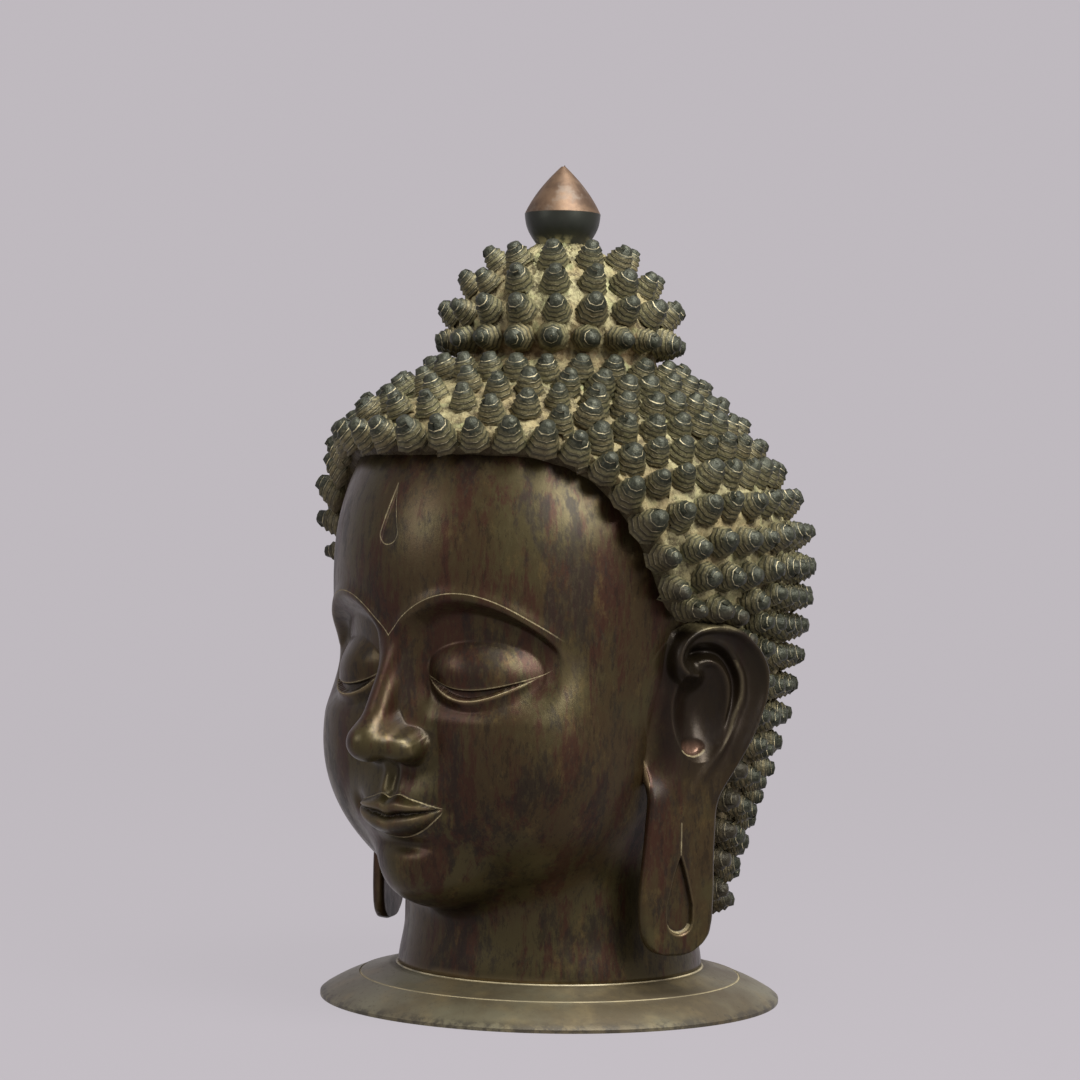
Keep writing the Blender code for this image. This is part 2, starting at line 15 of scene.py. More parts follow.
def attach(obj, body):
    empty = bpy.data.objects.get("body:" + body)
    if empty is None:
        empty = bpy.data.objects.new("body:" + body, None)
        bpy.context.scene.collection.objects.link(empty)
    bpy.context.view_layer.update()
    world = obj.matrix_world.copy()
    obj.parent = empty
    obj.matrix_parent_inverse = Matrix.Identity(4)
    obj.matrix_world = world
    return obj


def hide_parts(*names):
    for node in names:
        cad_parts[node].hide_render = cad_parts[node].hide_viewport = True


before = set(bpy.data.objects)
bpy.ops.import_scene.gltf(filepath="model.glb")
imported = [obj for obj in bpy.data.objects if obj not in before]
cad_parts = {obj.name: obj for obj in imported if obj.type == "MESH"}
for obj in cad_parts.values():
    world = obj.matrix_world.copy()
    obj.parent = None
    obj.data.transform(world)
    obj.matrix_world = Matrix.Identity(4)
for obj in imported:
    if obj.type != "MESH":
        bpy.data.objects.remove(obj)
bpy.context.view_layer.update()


# Camera: level with the head's brow and turned to its left side, at the distance that the
# photograph's perspective gives. The upright axis stands a little right of the frame's middle.
PHOTO_SIZE = 1080
FOCAL_PIXELS = 2830
AXIS_PIXEL = 557
HORIZON_PIXEL = 545
CAMERA_DISTANCE = 3.07
CAMERA_HEIGHT = 0.487
CAMERA_AZIMUTH = math.radians(40)
CAMERA_ROLL = math.radians(1.0)

camera = bpy.data.cameras.new("camera")
camera.sensor_width = 36
camera.lens = FOCAL_PIXELS / PHOTO_SIZE * camera.sensor_width
camera_object = bpy.data.objects.new("camera", camera)
bpy.context.scene.collection.objects.link(camera_object)
bpy.context.scene.camera = camera_object
to_the_right = Vector((math.cos(CAMERA_AZIMUTH), math.sin(CAMERA_AZIMUTH), 0))
towards_camera = Vector((math.sin(CAMERA_AZIMUTH), -math.cos(CAMERA_AZIMUTH), 0))
stance = Matrix((to_the_right, Vector((0, 0, 1)), towards_camera)).transposed().to_4x4()
yaw = math.atan((AXIS_PIXEL - PHOTO_SIZE / 2) / FOCAL_PIXELS)
pitch = math.atan((HORIZON_PIXEL - PHOTO_SIZE / 2) / FOCAL_PIXELS)
camera_object.matrix_world = (
    Matrix.Translation(towards_camera * CAMERA_DISTANCE + Vector((0, 0, CAMERA_HEIGHT)))
    @ stance
    @ Matrix.Rotation(yaw, 4, "Y")
    @ Matrix.Rotation(pitch, 4, "X")
    @ Matrix.Rotation(CAMERA_ROLL, 4, "Z")
)


# Studio: a pale lilac-grey floor that curves up into a round wall and glows evenly. The key
# panel stands on the camera's right, a strong one hangs overhead and a faint one fills in.
class Shade:
    """A socket of a material, used in sums like a number."""

    def __init__(self, tree, socket=None):
        self.tree = tree
        self.socket = socket

    def node(self, kind, settings=None, values=None, output=0):
        """Adds a node: its settings first, then the values or links of its sockets."""
        made = self.tree.nodes.new(kind)
        for name, value in (settings or {}).items():
            if name == "stops":
                while len(made.color_ramp.elements) < len(value):
                    made.color_ramp.elements.new(0.5)
                for element, (place, colour) in zip(made.color_ramp.elements, value):
                    element.position = place
                    element.color = (*colour, 1)
            else:
                setattr(made, name, value)
        for name, value in (values or {}).items():
            if isinstance(value, Shade):
                self.tree.links.new(value.socket, made.inputs[name])
            else:
                made.inputs[name].default_value = value
        return Shade(self.tree, made.outputs[output])

    def maths(self, operation, first, second=0.0):
        return self.node("ShaderNodeMath", {"operation": operation}, {0: first, 1: second})

    def __add__(self, other):
        return self.maths("ADD", self, other)

    __radd__ = __add__

    def __sub__(self, other):
        return self.maths("SUBTRACT", self, other)

    def __rsub__(self, other):
        return self.maths("SUBTRACT", other, self)

    def __mul__(self, other):
        return self.maths("MULTIPLY", self, other)

    __rmul__ = __mul__

    def __truediv__(self, other):
        return self.maths("DIVIDE", self, other)

    def power(self, exponent):
        return self.maths("POWER", self, exponent)

    def size(self):
        return self.maths("ABSOLUTE", self)

    def between(self, low, high):
        """Smooth rise from 0 at low to 1 at high."""
        return self.node("ShaderNodeMapRange", {"interpolation_type": "SMOOTHSTEP"},
                         {"Value": self, "From Min": low, "From Max": high})

    def mixed(self, first, second):
        """Colour first where this is 0, second where it is 1."""
        first = first if isinstance(first, Shade) else (*first, 1)
        second = second if isinstance(second, Shade) else (*second, 1)
        return self.node("ShaderNodeMix", {"data_type": "RGBA"}, {0: self, 6: first, 7: second}, 2)

    def place(self, stretch=(1, 1, 1)):
        """Object coordinates, stretched."""
        spot = self.node("ShaderNodeTexCoord", output=3)
        return self.node("ShaderNodeMapping", values={"Vector": spot, "Scale": stretch})

    def along(self, axis):
        """Object coordinate along X, Y or Z (0, 1 or 2)."""
        return self.node("ShaderNodeSeparateXYZ", values={0: self.place()}, output=axis)

    def noise(self, scale, detail=3.0, roughness=0.55, stretch=(1, 1, 1)):
        values = {"Vector": self.place(stretch), "Scale": scale, "Detail": detail, "Roughness": roughness}
        return self.node("ShaderNodeTexNoise", {"noise_dimensions": "3D"}, values)

    def bumps(self, strength, distance, height):
        """Normals of a surface as rough as the height says."""
        values = {"Strength": strength, "Distance": distance, "Height": height}
        return self.node("ShaderNodeBump", values=values)

    def mark(self, name):
        """A number painted on the mesh."""
        return self.node("ShaderNodeAttribute", {"attribute_name": name}, output=2)


def start_material(name):
    """New material: its Principled shader, and a Shade to build on."""
    material = bpy.data.materials.new(name)
    material.use_nodes = True
    tree = material.node_tree
    return material, tree.nodes["Principled BSDF"], Shade(tree)


def feed(shader, socket, value):
    if isinstance(value, Shade):
        value.tree.links.new(value.socket, shader.inputs[socket])
    else:
        shader.inputs[socket].default_value = value


WALL_RADIUS = 5.2
WALL_HEIGHT = 4.5
WALL_CURVE = 1.6
WALL_STEPS = 12
FLOOR_DROP = 0.0004
STUDIO_GREY = (0.533, 0.500, 0.533)
PAPER = (0.020, 0.018, 0.020)
PAPER_GLOW = 0.95
AIR_GLOW = 0.9
PANEL_AIM_HEIGHT = 0.42

bpy.ops.object.select_all(action="DESELECT")
bpy.ops.mesh.primitive_circle_add(vertices=96, radius=WALL_RADIUS - WALL_CURVE, fill_type="NGON",
                                  location=(0, 0, -FLOOR_DROP))
studio = bpy.context.object
studio.name = "studio_sweep"
bpy.ops.object.mode_set(mode="EDIT")
bpy.ops.mesh.select_mode(type="EDGE")
bpy.ops.mesh.select_all(action="SELECT")
bpy.ops.mesh.region_to_loop()
radius, height = WALL_RADIUS - WALL_CURVE, 0.0
for i in range(1, WALL_STEPS + 2):
    turn = min(i / WALL_STEPS, 1) * math.pi / 2
    next_radius = WALL_RADIUS - WALL_CURVE * (1 - math.sin(turn))
    next_height = WALL_CURVE * (1 - math.cos(turn)) if i <= WALL_STEPS else WALL_HEIGHT
    bpy.ops.mesh.extrude_edges_move(TRANSFORM_OT_translate={"value": (0, 0, next_height - height)})
    bpy.ops.transform.resize(value=(next_radius / radius, next_radius / radius, 1))
    radius, height = next_radius, next_height
bpy.ops.mesh.select_all(action="SELECT")
bpy.ops.mesh.normals_make_consistent(inside=True)
bpy.ops.object.mode_set(mode="OBJECT")
bpy.ops.object.transform_apply(location=True, rotation=True, scale=True)
bpy.ops.object.shade_smooth()
wall_paint, shader, base = start_material("studio paper")
feed(shader, "Base Color", (*PAPER, 1))
feed(shader, "Roughness", 1.0)
shader.inputs["Specular IOR Level"].default_value = 0.0
shader.inputs["Emission Color"].default_value = (*STUDIO_GREY, 1)
shader.inputs["Emission Strength"].default_value = PAPER_GLOW
studio.data.materials.append(wall_paint)

# Name, watts, size, azimuth round the head, distance out, height
PANELS = (
    ("key panel", 51, 1.2, 79, 1.90, 1.60),
    ("overhead panel", 84, 1.3, 78, 0.95, 2.55),
    ("left panel", 9, 0.9, -15, 2.0, 1.20),
)
for name, watts, size, azimuth, out, high in PANELS:
    panel = bpy.data.lights.new(name, "AREA")
    panel.energy = watts
    panel.shape = "DISK"
    panel.size = size
    panel_object = bpy.data.objects.new(name, panel)
    bpy.context.scene.collection.objects.link(panel_object)
    angle = math.radians(azimuth)
    stand = Vector((out * math.sin(angle), -out * math.cos(angle), high))
    panel_object.location = stand
    view = Vector((0, 0, PANEL_AIM_HEIGHT)) - stand
    panel_object.rotation_euler = view.to_track_quat("-Z", "Y").to_euler()
world = bpy.data.worlds.new("studio air")
world.use_nodes = True
world.node_tree.nodes["Background"].inputs["Color"].default_value = (*STUDIO_GREY, 1)
world.node_tree.nodes["Background"].inputs["Strength"].default_value = AIR_GLOW
bpy.context.scene.world = world
bpy.context.scene.view_settings.view_transform = "Standard"


# Foot plate: a flared round casting in olive-brown brass. A chased ring runs round it, its
# rim is thin and worn, and a pale broken line of solder dust marks the neck's foot.
PLATE_RADIUS = 0.2475
RIM_HEIGHT = 0.0040
RIM_ROUND = 0.0006
PLATE_SIDES = 180
SLOPE_STEPS = 13
SLOPE_BULGE = 0.0016
SHELF_STEPS = 9
SHELF_HOLLOW = 0.0011
SHELF_EDGE = 0.0020
SHELF_LIFT = 0.0010
GROOVE_HALF_WIDTH = 0.0004
RING_GROOVE = 0.0008
RING_RADIUS = 0.2050
RING_HEIGHT = 0.0244
SEAT_RADIUS = 0.1720
SEAT_HEIGHT = 0.0350
NECK_FOOT_RADIUS = 0.1640
OLIVE = (0.150, 0.137, 0.085)
PLATE_BROWN = (0.085, 0.066, 0.036)
PLATE_GOLD = (0.195, 0.150, 0.072)
PALE_DUST = (0.520, 0.440, 0.260)
RIM_BLACK = (0.040, 0.034, 0.024)
SPECK_BROWN = (0.055, 0.045, 0.032)

plate_profile = [(PLATE_RADIUS, RIM_HEIGHT - RIM_ROUND), (PLATE_RADIUS - 0.0008, RIM_HEIGHT)]
for i in range(1, SLOPE_STEPS):
    share = i / SLOPE_STEPS
    bulge = SLOPE_BULGE * math.sin(math.pi * share)
    radius = PLATE_RADIUS + (RING_RADIUS - PLATE_RADIUS) * share
    height = RIM_HEIGHT + (RING_HEIGHT - RIM_HEIGHT) * share
    plate_profile.append((radius, height + bulge))
plate_profile += [
    (RING_RADIUS + 0.0012, RING_HEIGHT),
    (RING_RADIUS + GROOVE_HALF_WIDTH, RING_HEIGHT - RING_GROOVE),
    (RING_RADIUS - GROOVE_HALF_WIDTH, RING_HEIGHT - RING_GROOVE),
    (RING_RADIUS - 0.0012, RING_HEIGHT + 0.0006),
]
for i in range(1, SHELF_STEPS + 1):
    share = i / SHELF_STEPS
    hollow = SHELF_HOLLOW * math.sin(math.pi * share)
    radius = RING_RADIUS - SHELF_EDGE + (SEAT_RADIUS - RING_RADIUS + SHELF_EDGE) * share
    height = RING_HEIGHT + SHELF_LIFT + (SEAT_HEIGHT - RING_HEIGHT - SHELF_LIFT) * share
    plate_profile.append((radius, height - hollow))
plate_profile += [
    (NECK_FOOT_RADIUS + 0.0024, SEAT_HEIGHT),
    (NECK_FOOT_RADIUS + 0.0014, SEAT_HEIGHT + 0.0011),
    (NECK_FOOT_RADIUS - 0.0006, SEAT_HEIGHT + 0.0012),
    (NECK_FOOT_RADIUS - 0.003, SEAT_HEIGHT),
]

bpy.ops.object.select_all(action="DESELECT")
bpy.ops.mesh.primitive_cylinder_add(vertices=PLATE_SIDES, radius=PLATE_RADIUS, depth=RIM_HEIGHT - RIM_ROUND,
                                    location=(0, 0, (RIM_HEIGHT - RIM_ROUND) / 2))
plate = bpy.context.object
plate.name = "foot_plate"
bpy.ops.object.transform_apply(location=True, rotation=True, scale=True)
bpy.ops.object.mode_set(mode="EDIT")
bpy.ops.mesh.select_mode(type="FACE")
bpy.ops.mesh.select_all(action="DESELECT")
cage = bmesh.from_edit_mesh(plate.data)
for face in cage.faces:
    face.select_set(face.normal.z > 0.9)
bmesh.update_edit_mesh(plate.data)
for (radius, height), (next_radius, next_height) in zip(plate_profile, plate_profile[1:]):
    bpy.ops.mesh.extrude_region_move(TRANSFORM_OT_translate={"value": (0, 0, next_height - height)})
    bpy.ops.transform.resize(value=(next_radius / radius, next_radius / radius, 1))
bpy.ops.mesh.poke()
bpy.ops.object.mode_set(mode="OBJECT")
bpy.ops.object.shade_smooth_by_angle(angle=math.radians(40))

plate_metal, shader, base = start_material("olive brown brass")
across = base.node("ShaderNodeVectorMath", {"operation": "LENGTH"}, {0: base.place((1, 1, 0))}, 1)
cloud = base.noise(7.0, 5.0, 0.62).between(0.35, 0.66)
patch = base.noise(19.0, 4.0, 0.6).between(0.46, 0.70)
speck = base.noise(240.0, 2.0, 0.6).between(0.58, 0.74)
colour = cloud.mixed(OLIVE, PLATE_BROWN)
colour = (patch * 0.55).mixed(colour, PLATE_GOLD)
colour = (speck * 0.35).mixed(colour, SPECK_BROWN)
rim = across.between(PLATE_RADIUS - 0.012, PLATE_RADIUS - 0.001)
colour = (rim * base.noise(60.0, 4.0, 0.7).between(0.42, 0.6) * 0.8).mixed(colour, RIM_BLACK)
ring_line = 1 - (across - RING_RADIUS).size().between(0.0005, 0.0015)
colour = (ring_line * (0.30 + base.noise(28.0, 3.0).between(0.35, 0.6) * 0.45)).mixed(colour, PALE_DUST)
joint_line = 1 - (across - NECK_FOOT_RADIUS - 0.0012).size().between(0.0004, 0.0017)
colour = (joint_line * base.noise(16.0, 4.0, 0.7).between(0.36, 0.60) * 0.8).mixed(colour, PALE_DUST)
feed(shader, "Base Color", colour)
feed(shader, "Metallic", 0.50 - (ring_line + joint_line).between(0, 1) * 0.4)
feed(shader, "Roughness", 0.42 + cloud * 0.08 + speck * 0.12 + ring_line * 0.3)
dents = base.noise(55.0, 4.0, 0.6)
feed(shader, "Normal", base.bumps(0.20, 0.0012, dents))
plate.data.materials.append(plate_metal)
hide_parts("base_plate")
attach(plate, "root")


# Head and neck: one smooth hollow casting, waxed to a dark brown gloss with olive and red
# streaks. Brows, lids, lips and the forehead mark are chased in afterwards with a fine tool.
SKULL_CENTRE = (0, 0, 0.465)
SKULL_RADII = (0.211, 0.268, 0.245)
NECK_RADIUS = 0.1575
NECK_FLARE = 0.0065
SKIN_TOP = 0.688
RAY_FALL = 0.42
GUIDE_ROWS = 290
SKIN_ROWS = 250
UNDER_HAIR_TUCK = 0.14
JOINT_GAP = 0.0003
EYE_X = 0.084
EYE_Z = 0.352
EYE_HALF_WIDTH = 0.048
BROW_PEAK_X = 0.078
BROW_PEAK_Z = 0.432
BROW_BEND = 7.2
BROW_RIDGE = 0.0025
SOCKET_DEPTH = 0.0155
EYE_SWELL = 0.0172
UPPER_LID_DROP = 0.0125
LOWER_LID_DROP = 0.0215
LID_DEPTH = 0.0042
MOUTH_Z = 0.212
MOUTH_HALF_WIDTH = 0.056
UPPER_LIP_HEIGHT = 0.0180
LOWER_LIP_HEIGHT = 0.0250
UPPER_LIP_SWELL = 0.0095
LOWER_LIP_SWELL = 0.0115
MOUTH_CURVE = 0.007
LIP_TAPER = 0.0110
LOWER_LIP_POWER = 0.6
BOW_X = 0.013
BOW_RISE = 0.0025
BOW_WIDTH = 0.009
BOW_NOTCH = 0.002
NOTCH_WIDTH = 0.006
CHIN_FOLD = 0.0075
MARK_LOW = 0.497
MARK_TIP = 0.548
MARK_RADIUS = 0.0120
MARK_DEPTH = 0.0014
MARK_POWER = 1.25
MARK_SLOPE = 0.09
# Centre, radii and fillet of the rounded forms that flow into the skull
FACE_FORMS = {
    "front of the face": ((0, -0.075, 0.330), (0.180, 0.170, 0.215), 0.050),
    "jaw": ((0, -0.068, 0.228), (0.162, 0.158, 0.130), 0.050),
    "cheek, one for both": ((0.080, -0.148, 0.278), (0.088, 0.080, 0.100), 0.045),
    "mouth": ((0, -0.200, 0.218), (0.070, 0.056, 0.046), 0.030),
    "chin": ((0, -0.186, 0.154), (0.056, 0.054, 0.042), 0.034),
}


def ellipsoid(p, centre, radii):
    """Distance to an ellipsoid, near enough for blending."""
    q = (p - np.array(centre)) / np.array(radii)
    near = np.linalg.norm(q, axis=-1)
    return near * (near - 1) / np.maximum(np.linalg.norm(q / np.array(radii), axis=-1), 1e-9)


def taper(p, start, end, start_radius, end_radius):
    """Distance to a round bar that widens from start to end."""
    start = np.array(start)
    run = np.array(end) - start
    along = np.clip(((p - start) @ run) / (run @ run), 0, 1)
    gap = np.linalg.norm(p - start - along[..., None] * run, axis=-1)
    return gap - start_radius - (end_radius - start_radius) * along


def fillet_union(a, b, reach):
    """Union of two forms with a fillet between them."""
    h = np.clip(0.5 + 0.5 * (b - a) / reach, 0, 1)
    return b + (a - b) * h - reach * h * (1 - h)


def ease(value, low, high):
    """Smooth rise from 0 at low to 1 at high."""
    t = np.clip((value - low) / (high - low), 0, 1)
    return t * t * (3 - 2 * t)


def hill(value, centre, width):
    """Bell-shaped rise to 1 at the centre."""
    return np.exp(-((value - centre) / width) ** 2)


def brow_height(side):
    return BROW_PEAK_Z - BROW_BEND * (side - BROW_PEAK_X) ** 2


def lid_heights(side):
    """Edge of the upper lid and of the lower lid of a lowered eye."""
    opening = np.clip(1 - ((side - EYE_X) / EYE_HALF_WIDTH) ** 2, 0, None)
    return EYE_Z - UPPER_LID_DROP * opening, EYE_Z - LOWER_LID_DROP * opening


def lip_heights(side):
    """Line between the lips, top of the upper lip and bottom of the lower lip."""
    q = np.clip(side / MOUTH_HALF_WIDTH, 0, 1)
    line = MOUTH_Z + MOUTH_CURVE * q ** 2 - BOW_RISE * hill(side, 0, BOW_WIDTH)
    bow = BOW_RISE * hill(side, BOW_X, BOW_WIDTH) - BOW_NOTCH * hill(side, 0, NOTCH_WIDTH)
    top = MOUTH_Z + UPPER_LIP_HEIGHT - LIP_TAPER * q ** 2 + bow
    full = np.clip(1 - q ** 2, 0, 1) ** LOWER_LIP_POWER
    bottom = MOUTH_Z - LOWER_LIP_HEIGHT * full + MOUTH_CURVE * q ** 2
    return line, top, bottom


def face_relief(x, z):
    """How far the carving stands out of the smooth face, seen from the front."""
    side = np.abs(x)
    brow = brow_height(side)
    below_brow = ease(brow - z, -0.001, 0.020) * ease(z, 0.305, 0.350)
    across = ease(side, 0.012, 0.036) * (1 - ease(side, 0.125, 0.168))
    out = -SOCKET_DEPTH * below_brow * across
    out += BROW_RIDGE * hill(z, brow + 0.003, 0.008) * ease(side, 0, 0.02) * (1 - ease(side, 0.13, 0.16))
    ball = ((side - EYE_X) / 0.056) ** 2 + ((z - EYE_Z - 0.002) / 0.036) ** 2
    out += EYE_SWELL * np.clip(1 - ball, 0, 1) ** 1.15
    upper, lower = lid_heights(side)
    inside = ease(EYE_HALF_WIDTH * 1.04 - np.abs(side - EYE_X), 0, 0.008)
    out -= LID_DEPTH * inside * ease(upper - z, -0.0008, 0.0012) * ease(z - lower, -0.001, 0.002)
    out += 0.0022 * inside * hill(z, lower - 0.003, 0.004)
    line, top, bottom = lip_heights(side)
    ends = np.sqrt(np.clip(1 - (side / MOUTH_HALF_WIDTH) ** 2, 0, 1))
    rise = np.clip((z - line) / np.maximum(top - line, 1e-4), 0, 1)
    fall = np.clip((line - z) / np.maximum(line - bottom, 1e-4), 0, 1)
    out += UPPER_LIP_SWELL * ends * np.clip(np.sin(np.pi * rise ** 0.8), 0, 1) ** 0.8 * (z > line)
    out += LOWER_LIP_SWELL * ends * np.clip(np.sin(np.pi * fall ** 0.9), 0, 1) ** 0.8 * (z <= line)
    out -= 0.005 * hill(side, MOUTH_HALF_WIDTH + 0.003, 0.010) * hill(z, MOUTH_Z + 0.006, 0.011)
    groove = ease(z, 0.228, 0.236) * (1 - ease(z, 0.258, 0.266))
    out += groove * (0.0012 * hill(side, 0.0115, 0.005) - 0.0028 * hill(x, 0, 0.0055))
    out -= CHIN_FOLD * hill(z, 0.180, 0.010) * hill(x, 0, 0.042)
    along = np.clip((z - MARK_LOW) / (MARK_TIP - MARK_LOW), 0, 1)
    mark = MARK_RADIUS * (1 - along) ** MARK_POWER - np.hypot(side, np.minimum(z - MARK_LOW, 0))
    return out - MARK_DEPTH * ease(mark, 0, 0.002)


def skin_distance(p):
    """The bare head and neck: skull, cheeks, jaw, chin and nose flowing into each other."""
    x, y, z = p[..., 0], p[..., 1], p[..., 2]
    half = np.stack([np.abs(x), y, z], axis=-1)
    form = ellipsoid(p, SKULL_CENTRE, SKULL_RADII)
    for centre, radii, fillet in FACE_FORMS.values():
        form = fillet_union(form, ellipsoid(half, centre, radii), fillet)
    neck_radius = NECK_RADIUS + NECK_FLARE * (1 - ease(z, 0.035, 0.085))
    form = fillet_union(form, np.maximum(np.hypot(x, y) - neck_radius, z - 0.40), 0.020)
    form = form - ease(-y, 0.05, 0.12) * face_relief(x, z)
    form = fillet_union(form, taper(p, (0, -0.222, 0.392), (0, -0.238, 0.296), 0.0130, 0.0300), 0.022)
    bridge = taper(p, (0, -0.243, 0.398), (0, -0.287, 0.290), 0.0095, 0.0150)
    tip = ellipsoid(p, (0, -0.2895, 0.2845), (0.0210, 0.0225, 0.0178))
    wing = ellipsoid(half, (0.0265, -0.264, 0.2800), (0.0170, 0.0240, 0.0150))
    form = fillet_union(form, fillet_union(fillet_union(bridge, tip, 0.018), wing, 0.014), 0.016)
    nostril = ellipsoid(half, (0.0135, -0.279, 0.2640), (0.0070, 0.0105, 0.0060))
    return -fillet_union(-form, nostril, 0.004)


def ray_hits(distance, azimuth, start_height, fall=RAY_FALL, rounds=60):
    """Where rays that fall away from the upright axis come out of a form."""
    out = np.stack([np.sin(azimuth), -np.cos(azimuth), np.full(azimuth.shape, -fall)], axis=-1)
    axis = np.stack([np.zeros_like(start_height), np.zeros_like(start_height), start_height], axis=-1)
    radius = np.full(azimuth.shape, 0.42)
    for _ in range(rounds):
        radius = radius - 0.69 * distance(axis + out * radius[..., None])
    return axis + out * radius[..., None]


def grid_mesh(name, points, closed_round):
    """Quads over a grid of points, rows going up, columns going round to the left."""
    rows, columns = points.shape[:2]
    index = np.arange(rows * columns).reshape(rows, columns)
    after = np.roll(index, -1, axis=1) if closed_round else index[:, 1:]
    here = index if closed_round else index[:, :-1]
    quads = np.stack([here[:-1], after[:-1], after[1:], here[1:]], axis=-1).reshape(-1, 4)
    faces = quads.tolist()
    if closed_round:
        faces += [index[0, ::-1].tolist(), index[-1].tolist()]
    mesh = bpy.data.meshes.new(name)
    mesh.from_pydata(points.reshape(-1, 3).tolist(), [], faces)
    mesh.update()
    return mesh


def even_rows(azimuth, rows):
    """Ray starts for each column of the skin, close together where the carving is."""
    foot = SEAT_HEIGHT + JOINT_GAP + (NECK_RADIUS + NECK_FLARE) * RAY_FALL
    start = np.linspace(foot, SKIN_TOP, GUIDE_ROWS)
    hits = ray_hits(skin_distance, *np.meshgrid(azimuth, start), rounds=45)
    height = hits[..., 2]
    care = 0.34 + 0.66 * ease(height, 0.12, 0.17) * (1 - ease(height, 0.43, 0.47))
    steps = np.linalg.norm(np.diff(hits, axis=0), axis=-1) * (care[1:] + care[:-1]) / 2
    for _ in range(8):
        steps = (np.roll(steps, 1, axis=1) + 2 * steps + np.roll(steps, -1, axis=1)) / 4
    run = np.concatenate([np.zeros((1, len(azimuth))), np.cumsum(steps, axis=0)])
    return np.stack([np.interp(np.linspace(0, run[-1, j], rows), run[:, j], start)
                     for j in range(len(azimuth))], axis=1)


def nearest_gap(tree, points):
    return np.array([tree.find(point)[2] for point in points])


def paint(mesh, name, values):
    """Writes one number to each vertex."""
    layer = mesh.attributes.get(name) or mesh.attributes.new(name, "FLOAT", "POINT")
    layer.data.foreach_set("value", np.asarray(values, dtype=np.float32))


def mark_hollows(mesh, rounds=3):
    """Paints how hollow the surface is at each vertex: above 0 in hollows, below 0 on edges."""
    count = len(mesh.vertices)
    places = np.empty(count * 3)
    mesh.vertices.foreach_get("co", places)
    places = places.reshape(-1, 3)
    normals = np.empty(count * 3)
    mesh.vertex_normals.foreach_get("vector", normals)
    normals = normals.reshape(-1, 3)
    edges = np.empty(len(mesh.edges) * 2, dtype=np.int64)
    mesh.edges.foreach_get("vertices", edges)
    first, second = edges.reshape(-1, 2).T
    degree = np.maximum(np.bincount(np.concatenate([first, second]), minlength=count), 1)

    def around(values):
        total = np.zeros_like(values)
        np.add.at(total, first, values[second])
        np.add.at(total, second, values[first])
        return total / degree.reshape((-1,) + (1,) * (values.ndim - 1))

    smooth = places
    for _ in range(rounds):
        smooth = around(smooth)
    hollow = np.einsum("ij,ij->i", smooth - places, normals)
    length = np.linalg.norm(places[first] - places[second], axis=1)
    spacing = np.zeros(count)
    np.add.at(spacing, first, length)
    np.add.at(spacing, second, length)
    hollow = hollow / np.maximum(spacing / degree, 1e-5)
    for _ in range(2):
        hollow = 0.5 * hollow + 0.5 * around(hollow)
    paint(mesh, "hollow", hollow)


half_round = np.concatenate([np.arange(0, 9, 0.17), np.arange(9, 42, 0.55), np.linspace(42, 180, 54)])
skin_azimuth = np.radians(np.concatenate([-half_round[:0:-1], half_round[:-1]]))
guide_azimuth = skin_azimuth[::3]
ray_start = np.stack([np.interp(skin_azimuth, guide_azimuth, row, period=2 * np.pi)
                      for row in even_rows(guide_azimuth, SKIN_ROWS)])
skin_points = ray_hits(skin_distance, np.broadcast_to(skin_azimuth, ray_start.shape), ray_start)
behind = ease(skin_points[..., 1], 0.0, 0.1) * ease(skin_points[..., 2], 0.40, 0.56)
skin_points[..., 1] *= 1 - UNDER_HAIR_TUCK * behind
skin_mesh = grid_mesh("face_and_neck", skin_points, closed_round=True)
mark_hollows(skin_mesh)
skin_mesh.shade_smooth()
skin = bpy.data.objects.new("face_and_neck", skin_mesh)
bpy.context.scene.collection.objects.link(skin)

WARM_BROWN = (0.044, 0.028, 0.011)
RED_BROWN = (0.036, 0.013, 0.007)
DEEP_BROWN = (0.011, 0.007, 0.004)
OLIVE_BROWN = (0.050, 0.040, 0.015)
GOLD_BROWN = (0.098, 0.066, 0.022)
COPPER_RED = (0.150, 0.082, 0.052)
SEAM_BLOOM = (0.185, 0.155, 0.078)
BRIGHT_BRASS = (0.300, 0.220, 0.110)
LINE_DUST_AND_HIGHLIGHT = (0.420, 0.350, 0.190)


